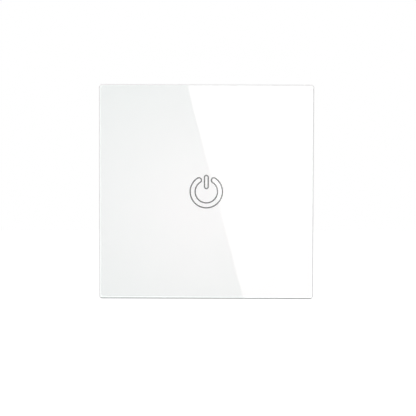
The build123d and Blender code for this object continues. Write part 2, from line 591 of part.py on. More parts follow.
def touch_board_screws():
    screws = []
    for side in (-1, 1):
        x = side * POST_PLACE
        near = TOUCH_FRONT - BOARD_SCREW_HEAD_HEIGHT
        head = peg(x, 0, BOARD_SCREW_HEAD, near, TOUCH_FRONT)
        head = chamfer(edges_at(head, near), BOARD_SCREW_HEAD_HEIGHT / 3)
        shank = peg(x, 0, BOARD_SCREW_RADIUS, TOUCH_FRONT, LEDGE_FRONT + BOARD_SCREW_BITE)
        recess = cross_recess(x, 0, BOARD_SCREW_HEAD * RECESS_WIDTH, near,
                              near + BOARD_SCREW_HEAD_HEIGHT * RECESS_DEPTH)
        screws.append(head + shank - recess)
    return Compound(children=screws)


def power_board():
    return notched_board(POWER_FRONT, POWER_BACK)


def pin_places():
    return [(n - (CONNECTOR_PINS - 1) / 2) * CONNECTOR_PITCH for n in range(CONNECTOR_PINS)]


def board_socket():
    length = CONNECTOR_PINS * CONNECTOR_PITCH
    socket = block(0, CONNECTOR_PLACE, length, CONNECTOR_WIDTH, LEDGE_FRONT, SOCKET_BACK)
    for x in pin_places():
        socket -= block(x, CONNECTOR_PLACE, PIN_HOLE, PIN_HOLE, SOCKET_BACK - PIN_DEPTH, SOCKET_BACK)
    return socket


def board_pins():
    length = CONNECTOR_PINS * CONNECTOR_PITCH
    pins = block(0, CONNECTOR_PLACE, length, CONNECTOR_WIDTH, SOCKET_BACK, POWER_FRONT)
    gap = PIN_HOLE - PIN_WIDTH
    for x in pin_places():
        pins += block(x, CONNECTOR_PLACE, PIN_WIDTH, PIN_WIDTH, SOCKET_BACK - PIN_DEPTH + gap, SOCKET_BACK)
    return pins


# The touch electrode, the light and the radio on the touch board

def helix_point(angle, rise):
    """A point of the spring's centreline and its unit tangent, where angle is the turn so far in radians."""
    point = Vector(SPRING_RADIUS * math.cos(angle), TOUCH_FRONT - SPRING_WIRE / 2 - rise * angle,
                   SPRING_RADIUS * math.sin(angle))
    tangent = Vector(-SPRING_RADIUS * math.sin(angle), -rise, SPRING_RADIUS * math.cos(angle))
    return point, tangent.normalized()


def biarc(start, start_tangent, end, end_tangent):
    """Two arcs, tangent where they meet, from start to end with the given tangents."""
    chord = end - start
    both = start_tangent + end_tangent
    a = 2 * (1 - start_tangent.dot(end_tangent))
    b = 2 * chord.dot(both)
    reach = (-b + math.sqrt(b * b + 4 * a * chord.dot(chord))) / (2 * a)
    first, second = start + start_tangent * reach, end - end_tangent * reach
    middle = (first + second) * 0.5
    return [Edge.make_tangent_arc(start, start_tangent, middle),
            Edge.make_tangent_arc(middle, (second - first).normalized(), end)]


def electrode_spring():
    """A coil held between the touch board and the printed back of the glass."""
    length = TOUCH_FRONT - PRINT_BACK - SPRING_WIRE
    rise = length / (SPRING_TURNS * 2 * math.pi)
    edges = []
    for half_turn in range(2 * SPRING_TURNS):
        edges += biarc(*helix_point(half_turn * math.pi, rise), *helix_point((half_turn + 1) * math.pi, rise))
    path = Wire(edges)
    start, tangent = helix_point(0, rise)
    section = RegularPolygon(SPRING_WIRE / 2, SPRING_FLATS)
    coil = sweep(Plane(origin=start, z_dir=tangent) * section, path=path)
    print("electrode spring: least gap between turns", round(length / SPRING_TURNS - SPRING_WIRE, 3), "mm")
    return coil


def light_shield():
    """A ring that keeps the light under the touch mark, on a thin foot."""
    front = PRINT_BACK + SHIELD_GAP
    ring = slab(Circle(SHIELD_RADIUS) - Circle(SHIELD_RADIUS - SHIELD_WALL), front, TOUCH_FRONT)
    foot = slab(Circle(SHIELD_RADIUS) - Circle(SHIELD_RADIUS - SHIELD_WALL - SHIELD_FOOT),
                TOUCH_FRONT - SHIELD_FOOT / 2, TOUCH_FRONT)
    return ring + foot


def light_diffuser():
    front = PRINT_BACK + DIFFUSER_GAP
    cap = peg(0, 0, DIFFUSER_RADIUS, front, TOUCH_FRONT)
    cap = chamfer(edges_at(cap, front), DIFFUSER_WALL / 2)
    return cap - peg(0, 0, DIFFUSER_RADIUS - DIFFUSER_WALL, front + DIFFUSER_WALL, TOUCH_FRONT)


def status_leds():
    near = TOUCH_FRONT - LED_HEIGHT
    return Compound(children=[block(side * LED_PLACE, 0, LED_WIDTH, LED_LENGTH, near, TOUCH_FRONT)
                              for side in (-1, 1)])


def radio_board():
    z = RADIO_START + RADIO_LENGTH / 2
    return block(0, z, RADIO_WIDTH, RADIO_LENGTH, TOUCH_FRONT - RADIO_THICKNESS, TOUCH_FRONT)


def radio_can():
    z = RADIO_START + RADIO_GAP + CAN_LENGTH / 2
    far = TOUCH_FRONT - RADIO_THICKNESS
    can = block(0, z, CAN_WIDTH, CAN_LENGTH, far - CAN_HEIGHT, far)
    return chamfer(edges_at(can, far - CAN_HEIGHT), RADIO_GAP / 2)


def leg_row(x, z, length, width, count, lead, near, far):
    """Flat gull-wing legs down the two long sides of a chip."""
    legs = []
    for side in (-1, 1):
        for n in range(count):
            place = x + (n - (count - 1) / 2) * length / count
            legs.append(block(place, z + side * (width / 2 + lead / 2), lead / 2, lead, near, far))
    return legs


def touch_chip():
    near = TOUCH_FRONT - TOUCH_CHIP_HEIGHT
    body = block(0, TOUCH_CHIP_PLACE, TOUCH_CHIP_LENGTH, TOUCH_CHIP_WIDTH, near, TOUCH_FRONT)
    legs = leg_row(0, TOUCH_CHIP_PLACE, TOUCH_CHIP_LENGTH, TOUCH_CHIP_WIDTH, TOUCH_CHIP_LEGS, TOUCH_CHIP_LEAD,
                   TOUCH_FRONT - TOUCH_CHIP_LEG_HEIGHT, TOUCH_FRONT)
    return Part() + [body] + legs


# The terminals

def terminal_block():
    """The moulded block that guides the cages and keeps the screws in."""
    middle_z = BLOCK_BOTTOM + BLOCK_HEIGHT / 2
    body = block(0, middle_z, BLOCK_WIDTH, BLOCK_HEIGHT, POWER_BACK, BLOCK_TOP)
    body = chamfer(edges_at(body, BLOCK_TOP), BLOCK_WALL / 3)
    for x in TERMINAL_PLACES:
        body -= block(x, CAGE_Z, CHAMBER_WIDTH, CAGE_LENGTH + 2 * CAGE_CLEARANCE,
                      CAGE_START - CAGE_CLEARANCE, CHAMBER_BACK)
        body -= peg(x, CAGE_Z, TERMINAL_SCREW_RADIUS + SCREW_CLEARANCE, CHAMBER_BACK, HEAD_SEAT)
        body -= peg(x, CAGE_Z, TERMINAL_HEAD_RADIUS + 2 * SCREW_CLEARANCE, HEAD_SEAT, BLOCK_TOP)
        body -= wire_window(x, BLOCK_BOTTOM, BLOCK_WALL)
        body -= block(x, BLOCK_INNER - BLOCK_WALL / 2, BAR_WIDTH, BLOCK_WALL,
                      BAR_BACK - BAR_THICKNESS, BAR_BACK)
    return body


def current_bars():
    """One strip for each terminal, through its cage and down to the power board."""
    start = CAGE_Z - CAGE_LENGTH / 2
    half = BAR_WIDTH / 2
    bars = []
    for x in TERMINAL_PLACES:
        flat = box_between(x - half, x + half, BAR_BACK - BAR_THICKNESS, BAR_BACK, start, BAR_END)
        down = box_between(x - half, x + half, POWER_BACK, BAR_BACK, BAR_END - BAR_THICKNESS, BAR_END)
        bars.append(flat + down)
    return Compound(children=bars)


def terminal_cage(x):
    """A brass box on the screw's thread. It rises towards the head and grips the wire under the bar."""
    cage = block(x, CAGE_Z, CAGE_WIDTH, CAGE_LENGTH, CAGE_START, CAGE_START + CAGE_DEPTH)
    cage = fillet(cage.edges().filter_by(Axis.Z), CAGE_SIDE / 2)
    mouth = CAGE_START + CAGE_FLOOR
    cage -= block(x, CAGE_Z, CAGE_OPENING, CAGE_LENGTH, mouth, mouth + CAGE_MOUTH)
    return cage - peg(x, CAGE_Z, TERMINAL_SCREW_RADIUS + THREAD_CLEARANCE, mouth + CAGE_MOUTH,
                      CAGE_START + CAGE_DEPTH)


def terminal_screw(x):
    seat = HEAD_SEAT + THREAD_CLEARANCE
    top = seat + TERMINAL_HEAD_HEIGHT
    head = peg(x, CAGE_Z, TERMINAL_HEAD_RADIUS, seat, top)
    head = chamfer(edges_at(head, top), TERMINAL_HEAD_HEIGHT / 6)
    shank = peg(x, CAGE_Z, TERMINAL_SCREW_RADIUS, BAR_BACK + THREAD_CLEARANCE, seat)
    slit = block(x, CAGE_Z, 2 * TERMINAL_HEAD_RADIUS, TERMINAL_HEAD_HEIGHT / 3,
                 top - TERMINAL_HEAD_HEIGHT / 2, top)
    return head + shank - slit


# The relay

def relay_base():
    base = block(RELAY_X, RELAY_Z, RELAY_WIDTH, RELAY_LENGTH, POWER_BACK + RELAY_FOOT, RELAY_FLOOR)
    for side_x in (-1, 1):
        for side_z in (-1, 1):
            x = RELAY_X + side_x * (RELAY_WIDTH / 2 - RELAY_FOOT_INSET)
            z = RELAY_Z + side_z * (RELAY_LENGTH / 2 - RELAY_FOOT_INSET)
            base += block(x, z, RELAY_FOOT_WIDTH, RELAY_FOOT_WIDTH, POWER_BACK, POWER_BACK + RELAY_FOOT)
    return base


def relay_cover():
    cover = block(RELAY_X, RELAY_Z, RELAY_WIDTH, RELAY_LENGTH, RELAY_FLOOR, RELAY_TOP)
    cover = chamfer(edges_at(cover, RELAY_TOP), RELAY_SHELL / 2)
    return cover - block(RELAY_X, RELAY_Z, RELAY_WIDTH - 2 * RELAY_SHELL, RELAY_LENGTH - 2 * RELAY_SHELL,
                         RELAY_FLOOR, RELAY_TOP - RELAY_SHELL)


def relay_bobbin():
    bobbin = peg(RELAY_X, CORE_Z, COIL_TUBE_RADIUS, COIL_START, COIL_END)
    bobbin += block(RELAY_X, CORE_Z, COIL_FLANGE, COIL_FLANGE, COIL_START, COIL_START + COIL_CHEEK)
    bobbin += block(RELAY_X, CORE_Z, COIL_FLANGE, COIL_FLANGE, COIL_END - COIL_CHEEK, COIL_END)
    return bobbin - peg(RELAY_X, CORE_Z, CORE_RADIUS, COIL_START, COIL_END)


def relay_winding():
    outline = Pos(RELAY_X, CORE_Z) * (Circle(COIL_RADIUS) - Circle(COIL_TUBE_RADIUS))
    return slab(outline, COIL_START + COIL_CHEEK, COIL_END - COIL_CHEEK)


def relay_core():
    pole = peg(RELAY_X, CORE_Z, POLE_RADIUS, COIL_END, POLE_FACE)
    return pole + peg(RELAY_X, CORE_Z, CORE_RADIUS, COIL_START, COIL_END)


def relay_yoke():
    """An L of soft iron: a foot under the coil and an upright whose edge the armature rocks on."""
    half = YOKE_WIDTH / 2
    foot = box_between(RELAY_X - half, RELAY_X + half, RELAY_FLOOR, COIL_START,
                       PIVOT_Z, CORE_Z + COIL_FLANGE / 2)
    upright = box_between(RELAY_X - half, RELAY_X + half, RELAY_FLOOR, POLE_FACE,
                          PIVOT_Z - YOKE_THICKNESS / 2, PIVOT_Z + YOKE_THICKNESS / 2)
    return foot + upright


def opened(shape):
    """Turns a piece of the pulled-in armature to its rest, open, about the yoke's edge."""
    pivot = Pos(RELAY_X, PIVOT_DEPTH, PIVOT_Z)
    return pivot * Rot(-ARMATURE_OPEN_ANGLE, 0, 0) * pivot.inverse() * shape


def relay_armature():
    half = YOKE_WIDTH / 2 - ARMATURE_SIDE
    plate = box_between(RELAY_X - half, RELAY_X + half, PIVOT_DEPTH, PIVOT_DEPTH + ARMATURE_THICKNESS,
                        PIVOT_Z - YOKE_THICKNESS / 2, CONTACT_Z - CONTACT_RADIUS - CONTACT_GAP)
    return opened(plate)


def relay_contact_blade():
    """The springy strip on the armature, with the moving contact at its end."""
    near = PIVOT_DEPTH + ARMATURE_THICKNESS
    half = BLADE_WIDTH / 2
    strip = box_between(RELAY_X - half, RELAY_X + half, near, near + BLADE_THICKNESS,
                        CORE_Z - half, CONTACT_Z + CONTACT_RADIUS + BLADE_THICKNESS)
    button = peg(RELAY_X, CONTACT_Z, CONTACT_RADIUS, near - CONTACT_HEIGHT, near)
    return opened(strip + button)


def relay_fixed_contact():
    """The contact that the blade meets, on a strip that stands up from the relay's base."""
    top = PIVOT_DEPTH + ARMATURE_THICKNESS - CONTACT_HEIGHT - ARMATURE_AIR
    under = top - CONTACT_HEIGHT
    half = BLADE_WIDTH / 2
    arm = box_between(RELAY_X - half, RELAY_X + half, under - CONTACT_ARM, under,
                      CONTACT_Z - CONTACT_RADIUS, STEM_Z)
    stem = box_between(RELAY_X - half, RELAY_X + half, RELAY_FLOOR, under, STEM_Z - CONTACT_ARM, STEM_Z)
    return arm + stem + peg(RELAY_X, CONTACT_Z, CONTACT_RADIUS, under, top)


# Power parts

def transformer_core():
    """Two ferrite E halves: side limbs and end yokes round the winding."""
    limb = TRANSFORMER_LIMB
    outside = block(TRANSFORMER_X, TRANSFORMER_Z, TRANSFORMER_WIDTH, TRANSFORMER_LENGTH,
                    PART_SEAT + TRANSFORMER_YOKE, PART_SEAT + TRANSFORMER_HEIGHT - TRANSFORMER_YOKE)
    gap = (TRANSFORMER_WIDTH - 3 * limb) / 2
    height = TRANSFORMER_LENGTH - 2 * TRANSFORMER_YOKE
    for side in (-1, 1):
        outside -= block(TRANSFORMER_X + side * (limb + gap) / 2, TRANSFORMER_Z, gap, height,
                         PART_SEAT, PART_SEAT + TRANSFORMER_HEIGHT)
    return outside


def transformer_winding():
    near = PART_SEAT
    limb = TRANSFORMER_LIMB
    gap = (TRANSFORMER_WIDTH - 3 * limb) / 2
    height = TRANSFORMER_LENGTH - 2 * TRANSFORMER_YOKE - 2 * PART_LIFT
    width = limb + 2 * gap - 2 * PART_LIFT
    coil = block(TRANSFORMER_X, TRANSFORMER_Z, width, height, near, near + TRANSFORMER_HEIGHT)
    coil = fillet(coil.edges().filter_by(Axis.Z), TRANSFORMER_YOKE / 2)
    core = block(TRANSFORMER_X, TRANSFORMER_Z, limb + PART_LIFT, height, near + TRANSFORMER_YOKE,
                 near + TRANSFORMER_HEIGHT - TRANSFORMER_YOKE)
    return coil - core


def can_capacitor():
    far = PART_SEAT + CAN_CAPACITOR_HEIGHT
    can = peg(CAN_CAPACITOR_X, CAN_CAPACITOR_Z, CAN_CAPACITOR_RADIUS, PART_SEAT, far)
    can = chamfer(edges_at(can, far), CAN_CRIMP)
    ring = Pos(CAN_CAPACITOR_X, CAN_CAPACITOR_Z) * (
        Circle(CAN_CAPACITOR_RADIUS) - Circle(CAN_CAPACITOR_RADIUS - CAN_CRIMP))
    return can - slab(ring, PART_SEAT + 3 * CAN_CRIMP, PART_SEAT + 4 * CAN_CRIMP)


def box_capacitor():
    far = PART_SEAT + BOX_CAPACITOR_HEIGHT
    body = block(BOX_CAPACITOR_X, BOX_CAPACITOR_Z, BOX_CAPACITOR_WIDTH, BOX_CAPACITOR_LENGTH, PART_SEAT, far)
    return chamfer(edges_at(body, far), PART_BEVEL)


def varistor():
    """A coated disc standing on its edge."""
    middle = PART_SEAT + VARISTOR_RADIUS + VARISTOR_THICKNESS / 2
    disc = Pos(VARISTOR_X, middle, VARISTOR_Z) * Cylinder(VARISTOR_RADIUS, VARISTOR_THICKNESS)
    disc = chamfer(disc.edges().filter_by(GeomType.CIRCLE), VARISTOR_THICKNESS / 4)
    legs = [block(VARISTOR_X + side * VARISTOR_RADIUS / 2, VARISTOR_Z, PIN_DIAMETER, PIN_DIAMETER,
                  POWER_BACK, middle - VARISTOR_RADIUS / 4) for side in (-1, 1)]
    return Part() + [disc] + legs


def fuse():
    """A wire-ended fuse lying along the terminals, with a cap at each end."""
    half = PIN_DIAMETER / 2
    middle = PART_SEAT + FUSE_RADIUS + half
    tube = Pos(FUSE_X, middle, FUSE_Z) * Rot(0, 90, 0) * Cylinder(FUSE_RADIUS - PART_LIFT, FUSE_LENGTH)
    solids = [tube]
    for side in (-1, 1):
        end = FUSE_X + side * (FUSE_LENGTH - FUSE_CAP) / 2
        solids.append(Pos(end, middle, FUSE_Z) * Rot(0, 90, 0) * Cylinder(FUSE_RADIUS, FUSE_CAP))
        lead = FUSE_X + side * (FUSE_LENGTH / 2 + half)
        solids.append(block(lead, FUSE_Z, PIN_DIAMETER, PIN_DIAMETER, POWER_BACK, middle + half))
    return Part() + solids


def bridge_rectifier():
    far = PART_SEAT + BRIDGE_HEIGHT
    body = block(BRIDGE_X, BRIDGE_Z, BRIDGE_WIDTH, BRIDGE_LENGTH, PART_SEAT, far)
    body = chamfer(edges_at(body, far), PART_BEVEL)
    legs = leg_row(BRIDGE_X, BRIDGE_Z, BRIDGE_WIDTH, BRIDGE_LENGTH, 2, BRIDGE_LEAD,
                   POWER_BACK, POWER_BACK + BRIDGE_LEG_HEIGHT)
    return Part() + [body] + legs


def pieces():
    made = {
        "glass_panel": glass_panel(),
        "back_print": back_print(),
        "panel_tape": panel_tape(),
        "panel_frame": panel_frame(),
        "panel_snap_hooks": panel_snap_hooks(),
        "mounting_plate": mounting_plate(),
        "base_tray": base_tray(),
        "rear_housing": rear_housing(),
        "housing_screws": housing_screws(),
        "touch_board": touch_board(),
        "touch_board_screws": touch_board_screws(),
        "power_board": power_board(),
        "board_socket": board_socket(),
        "board_pins": board_pins(),
        "electrode_spring": electrode_spring(),
        "light_shield": light_shield(),
        "light_diffuser": light_diffuser(),
        "status_leds": status_leds(),
        "radio_board": radio_board(),
        "radio_can": radio_can(),
        "touch_chip": touch_chip(),
        "terminal_block": terminal_block(),
        "current_bars": current_bars(),
        "relay_base": relay_base(),
        "relay_cover": relay_cover(),
        "relay_bobbin": relay_bobbin(),
        "relay_winding": relay_winding(),
        "relay_core": relay_core(),
        "relay_yoke": relay_yoke(),
        "relay_armature": relay_armature(),
        "relay_contact_blade": relay_contact_blade(),
        "relay_fixed_contact": relay_fixed_contact(),
        "transformer_core": transformer_core(),
        "transformer_winding": transformer_winding(),
        "can_capacitor": can_capacitor(),
        "box_capacitor": box_capacitor(),
        "varistor": varistor(),
        "fuse": fuse(),
        "bridge_rectifier": bridge_rectifier(),
    }
    for n, x in enumerate(TERMINAL_PLACES, 1):
        made[f"terminal_cage_{n}"] = terminal_cage(x)
        made[f"terminal_screw_{n}"] = terminal_screw(x)
    return made


os.makedirs("parts", exist_ok=True)
for name, shape in pieces().items():
    export_step(shape, f"parts/{name}.step")
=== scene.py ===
"""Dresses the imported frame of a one-gang glass touch switch.

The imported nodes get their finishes. The print, the mark, the coils and the small parts on the boards are
made here as surfaces worked out with numpy. A white studio with lamps, cards and the camera stands round them.
"""
import math

import bpy
import numpy as np
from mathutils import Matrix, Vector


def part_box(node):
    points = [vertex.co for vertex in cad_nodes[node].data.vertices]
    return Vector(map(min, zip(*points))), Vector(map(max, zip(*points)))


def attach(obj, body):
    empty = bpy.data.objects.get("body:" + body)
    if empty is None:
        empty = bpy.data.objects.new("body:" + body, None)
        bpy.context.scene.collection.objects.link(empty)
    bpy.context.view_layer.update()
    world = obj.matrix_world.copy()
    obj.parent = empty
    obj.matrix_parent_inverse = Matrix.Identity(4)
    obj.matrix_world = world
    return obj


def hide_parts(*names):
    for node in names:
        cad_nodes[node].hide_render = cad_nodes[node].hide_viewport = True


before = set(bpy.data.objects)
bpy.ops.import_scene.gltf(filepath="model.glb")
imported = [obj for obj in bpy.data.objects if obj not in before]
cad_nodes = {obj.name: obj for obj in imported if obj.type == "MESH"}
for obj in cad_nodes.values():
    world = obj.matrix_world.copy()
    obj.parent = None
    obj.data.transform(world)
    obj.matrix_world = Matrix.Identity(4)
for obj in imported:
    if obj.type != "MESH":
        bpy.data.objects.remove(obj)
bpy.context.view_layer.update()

MM = 0.001
QUARTER_TURN = math.pi / 2
FULL_TURN = 2 * math.pi
X, DEPTH, Z = 0, 1, 2

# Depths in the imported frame, in millimetres: minus is towards the room
GLASS_FRONT, GLASS_BACK = -10.5, -6.5
PRINT_BACK = -6.35
RADIO_FRONT = -3.8
TOUCH_FRONT, TOUCH_BACK = -3.0, -1.8
POWER_FRONT, POWER_BACK = 6.6, 8.2

# Places of what stands on the power board, in millimetres: x and z, or x alone
RELAY = (-12.4, 5.4)
RELAY_CORE = (-12.4, 4.4)
RELAY_CONTACT = (-12.4, 11.6)
TRANSFORMER = (12.4, 3.4)
CAN = (12.2, 15.0)
VARISTOR_X = -9.0
FUSE_X = 2.0


# Surfaces worked out with numpy

def circle_points(radius, angle):
    """The radius times the cosine and the sine of each angle."""
    return radius * np.stack([np.cos(angle), np.sin(angle)], axis=1)


def unit(arrows):
    """Each arrow divided by its length."""
    return arrows / np.linalg.norm(arrows, axis=1)[:, None]


def at_depth(line, depth):
    """Points (x, z) of a plane that faces the room, put at one depth."""
    return np.stack([line[:, 0], np.full(len(line), depth), line[:, 1]], axis=1)


def ring_faces(rings, around, joined=False):
    """Quads between each ring of points and the next. Every ring closes on itself.

    joined also closes the last ring on the first.
    """
    row = np.arange(rings if joined else rings - 1)[:, None]
    column = np.arange(around)[None, :]
    below, beside = (row + 1) % rings, (column + 1) % around
    corners = [row * around + column, row * around + beside, below * around + beside, below * around + column]
    return np.stack(np.broadcast_arrays(*corners), axis=-1).reshape(-1, 4)


def volume_sign(points, faces):
    """Plus or minus one by the sum, over all triangles, of their corners' box product: minus is inside out."""
    total = 0.0
    for face in faces:
        corner = points[np.asarray(face)]
        total += np.einsum("ij,ij->", np.cross(corner[1:-1] - corner[0], corner[2:] - corner[0]), corner[1:-1])
    return math.copysign(1.0, total)


def mesh_object(name, points, faces, material, smooth=False):
    """A new object at the origin with its place, in metres, in its mesh. A face of over four corners stays flat."""
    mesh = bpy.data.meshes.new(name)
    mesh.from_pydata(points, [], faces)
    mesh.polygons.foreach_set("use_smooth", [smooth and len(face) < 5 for face in faces])
    mesh.materials.append(material)
    mesh.update()
    made = bpy.data.objects.new(name, mesh)
    bpy.context.scene.collection.objects.link(made)
    return made


def closed_piece(name, rings, material, body, replaces=(), joined=False, smooth=True, copies=None):
    """A closed skin through an array of rings in millimetres. Open ends get a flat cap.

    copies is an array of shifts, one for each repeat.
    """
    count, around = rings.shape[:2]
    points = rings.reshape(-1, 3)
    faces = ring_faces(count, around, joined).tolist()
    if not joined:
        faces += [list(range(around))[::-1], list(range((count - 1) * around, count * around))]
    if volume_sign(points, faces) < 0:
        faces = [face[::-1] for face in faces]
    if copies is not None:
        shift = np.arange(len(copies)) * len(points)
        faces = [[corner + start for corner in face] for start in shift for face in faces]
        points = (points[None] + np.asarray(copies)[:, None]).reshape(-1, 3)
    piece = mesh_object(name, (points * MM).tolist(), faces, material, smooth)
    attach(piece, body)
    if replaces:
        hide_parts(*replaces)


def rounded_outline(width, height, radius, steps):
    """A rectangle's four corner arcs in turn: each is its corner's centre plus points of a circle."""
    quarter = np.linspace(0, QUARTER_TURN, steps)
    angle = np.concatenate([quarter + turn * QUARTER_TURN for turn in range(4)])
    centre_x = np.repeat([1, -1, -1, 1], steps) * (width / 2 - radius)
    centre_z = np.repeat([1, 1, -1, -1], steps) * (height / 2 - radius)
    return np.stack([centre_x, centre_z], axis=1) + circle_points(radius, angle)


def soft_block(x, z, width, height, radius, near, far, edge, steps):
    """A rounded block's rings: the outline at full size between two depths, and smaller by the edge at each end.

    Between the two, the outline is smaller by a share of the edge, at that share of its depth.
    """
    share, least_radius = 0.3, 0.01
    layers = [(edge, near), (edge * share, near + edge * share), (0, near + edge),
              (0, far - edge), (edge * share, far - edge * share), (edge, far)]
    rings = []
    for inset, depth in layers:
        line = rounded_outline(width - 2 * inset, height - 2 * inset, max(radius - inset, least_radius), steps)
        rings.append(at_depth(line + [x, z], depth))
    return np.array(rings)


def turned(x, z, profile, steps):
    """Rings turned about an axis along the depth: each angle's cosine and sine times the profile's radii."""
    angle = np.linspace(0, FULL_TURN, steps, endpoint=False)
    radius, depth = np.asarray(profile, float).T
    across = radius[:, None] * np.cos(angle) + x
    up = radius[:, None] * np.sin(angle) + z
    return np.stack([across, np.broadcast_to(depth[:, None], across.shape), up], axis=2)


def flat_rings(x, y, layers, radius, steps=7):
    """Rounded outlines across the width and the depth, one for each (height, width, depth) of layers."""
    rings = []
    for z, width, depth in layers:
        line = rounded_outline(width, depth, radius, steps)
        rings.append(np.stack([x + line[:, 0], y + line[:, 1], np.full(len(line), z)], axis=1))
    return np.array(rings)


def wire_rings(path, radius, sides):
    """A round section carried along a path: its centre, plus the cosine one way and the sine the other."""
    ahead = unit(np.gradient(path, axis=0))
    side = unit(np.cross(ahead, [0.0, 1.0, 0.0]))
    other = np.cross(side, ahead)
    angle = np.linspace(0, FULL_TURN, sides, endpoint=False)[None, :, None]
    return path[:, None] + radius * (np.cos(angle) * side[:, None] + np.sin(angle) * other[:, None])


def quarter_turned(ahead):
    """Arrows (x, z) a quarter turn from these."""
    return np.stack([ahead[:, 1], -ahead[:, 0]], axis=1)


def strip_rings(one, other, near, far):
    """A flat strip's rings of four corners: its two edge lines, each at two depths."""
    corners = [(one, near), (other, near), (other, far), (one, far)]
    return np.stack([at_depth(line, depth) for line, depth in corners], axis=1)


def line_rings(path, width, near, far):
    """A flat printed line along a closed path: the path moved half the width to each side."""
    side = quarter_turned(unit(np.roll(path, -1, axis=0) - np.roll(path, 1, axis=0))) * width / 2
    return strip_rings(path + side, path - side, near, far)


def arc_band(radius, half_width, gap, steps=96, cap=14):
    """A thick arc's outline, its gap at the top: outer arc, half circle, inner arc back, half circle."""
    start, stop = QUARTER_TURN + gap, QUARTER_TURN - gap + FULL_TURN
    sweep = np.linspace(start, stop, steps)
    turn = np.linspace(0, math.pi, cap + 2)[1:-1]

    def round_end(place, first):
        return circle_points(radius, np.array([place])) + circle_points(half_width, first + turn)

    return np.concatenate([circle_points(radius + half_width, sweep), round_end(stop, stop),
                           circle_points(radius - half_width, sweep[::-1]), round_end(start, start + math.pi)])


def capsule(x, low, high, half_width, cap=14, side=10):
    """An upright bar's outline with round ends: upper half circle, left side, lower half circle, right side."""
    turn = np.linspace(0, math.pi, cap)
    top = circle_points(half_width, turn) + [x, high]
    foot = circle_points(-half_width, turn) + [x, low]
    down = np.linspace(high, low, side + 2)[1:-1]
    left = np.stack([np.full(side, x - half_width), down], axis=1)
    right = np.stack([np.full(side, x + half_width), down[::-1]], axis=1)
    return np.concatenate([top, left, foot, right])


def cad_span(node):
    """A node's lowest and highest depth in millimetres."""
    low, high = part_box(node)
    return low.y / MM, high.y / MM


# Node helpers

def feed(tree, value, target):
    """Links a socket to the target, or gives the target a plain value."""
    if isinstance(value, bpy.types.NodeSocket):
        tree.links.new(value, target)
    else:
        target.default_value = value


def math_of(tree, operation, first, second=0.0):
    """A Math node's result."""
    node = tree.nodes.new("ShaderNodeMath")
    node.operation = operation
    feed(tree, first, node.inputs[0])
    feed(tree, second, node.inputs[1])
    return node.outputs[0]


def over(tree, length, limit):
    """1 where a length in metres is over a limit in millimetres."""
    return math_of(tree, "GREATER_THAN", length, limit * MM)


def under(tree, length, limit):
    """1 where a length in metres is under a limit in millimetres."""
    return math_of(tree, "LESS_THAN", length, limit * MM)


def weighted(tree, share, first, second):
    """The first times its share, plus the second times the rest."""
    return math_of(tree, "ADD", math_of(tree, "MULTIPLY", first, share),
                   math_of(tree, "MULTIPLY", second, 1.0 - share))


def blend_of(tree, share, first, second):
    """The first colour where share is 0, the second where it is 1."""
    node = tree.nodes.new("ShaderNodeMix")
    node.data_type = "RGBA"
    feed(tree, share, node.inputs["Factor"])
    feed(tree, first, node.inputs[6])
    feed(tree, second, node.inputs[7])
    return node.outputs[2]


def between(tree, value, low, high, start=0.0, stop=1.0):
    """Low where the value is at start, high where it is at stop, and evenly spread between."""
    node = tree.nodes.new("ShaderNodeMapRange")
    for label, given in (("Value", value), ("From Min", start), ("From Max", stop),
                         ("To Min", low), ("To Max", high)):
        feed(tree, given, node.inputs[label])
    return node.outputs["Result"]


def noise_of(tree, vector, scale, detail, rough=0.55):
    """Soft noise from 0 to 1."""
    node = tree.nodes.new("ShaderNodeTexNoise")
    tree.links.new(vector, node.inputs["Vector"])
    feed(tree, scale, node.inputs["Scale"])
    node.inputs["Detail"].default_value = detail
    node.inputs["Roughness"].default_value = rough
    return node.outputs["Fac"]


def cells_of(tree, vector, scale, feature="F1", output="Distance"):
    """One output of a pattern of uneven cells."""
    node = tree.nodes.new("ShaderNodeTexVoronoi")
    node.feature = feature
    tree.links.new(vector, node.inputs["Vector"])
    feed(tree, scale, node.inputs["Scale"])
    return node.outputs[output]


def apart(tree, vector):
    """A vector's three numbers."""
    node = tree.nodes.new("ShaderNodeSeparateXYZ")
    tree.links.new(vector, node.inputs[0])
    return node.outputs


def shade(value):
    """A grey or a colour as four numbers."""
    return (value, value, value, 1.0) if isinstance(value, float) else (*value, 1.0)


# Effects that several finishes share, each a node group

def new_group(name, tones, numbers, masks=()):
    """A group that takes a vector, tones and numbers, and gives colour, roughness, height and masks."""
    group = bpy.data.node_groups.new(name, "ShaderNodeTree")

    def add(label, way, kind):
        return group.interface.new_socket(name=label, in_out=way, socket_type="NodeSocket" + kind)

    add("Vector", "INPUT", "Vector")
    for label in tones:
        add(label, "INPUT", "Color")
    for label, value in numbers.items():
        add(label, "INPUT", "Float").default_value = value
    add("Colour", "OUTPUT", "Color")
    for label in ("Roughness", "Height", *masks):
        add(label, "OUTPUT", "Float")
    return group, group.nodes.new("NodeGroupInput").outputs, group.nodes.new("NodeGroupOutput").inputs


def two_toned(tree, given, wanted, share, height):
    """Puts out the two tones and the two roughnesses mixed by one share, and the height."""
    tree.links.new(blend_of(tree, share, given["Tone"], given["Other Tone"]), wanted["Colour"])
    tree.links.new(between(tree, share, given["Smooth"], given["Rough"]), wanted["Roughness"])
    tree.links.new(height, wanted["Height"])


def make_moulding():
    """Moulded or dipped skin: two close tones in soft patches, and a fine spark-eroded grain."""
    tree, given, wanted = new_group("moulding", ["Tone", "Other Tone"], {
        "Patch Scale": 60.0, "Grain Scale": 2600.0, "Smooth": 0.35, "Rough": 0.5})
    patch = noise_of(tree, given["Vector"], given["Patch Scale"], detail=2.0)
    grain = noise_of(tree, given["Vector"], given["Grain Scale"], detail=2.0, rough=0.7)
    two_toned(tree, given, wanted, weighted(tree, 0.7, patch, grain), grain)
    return tree


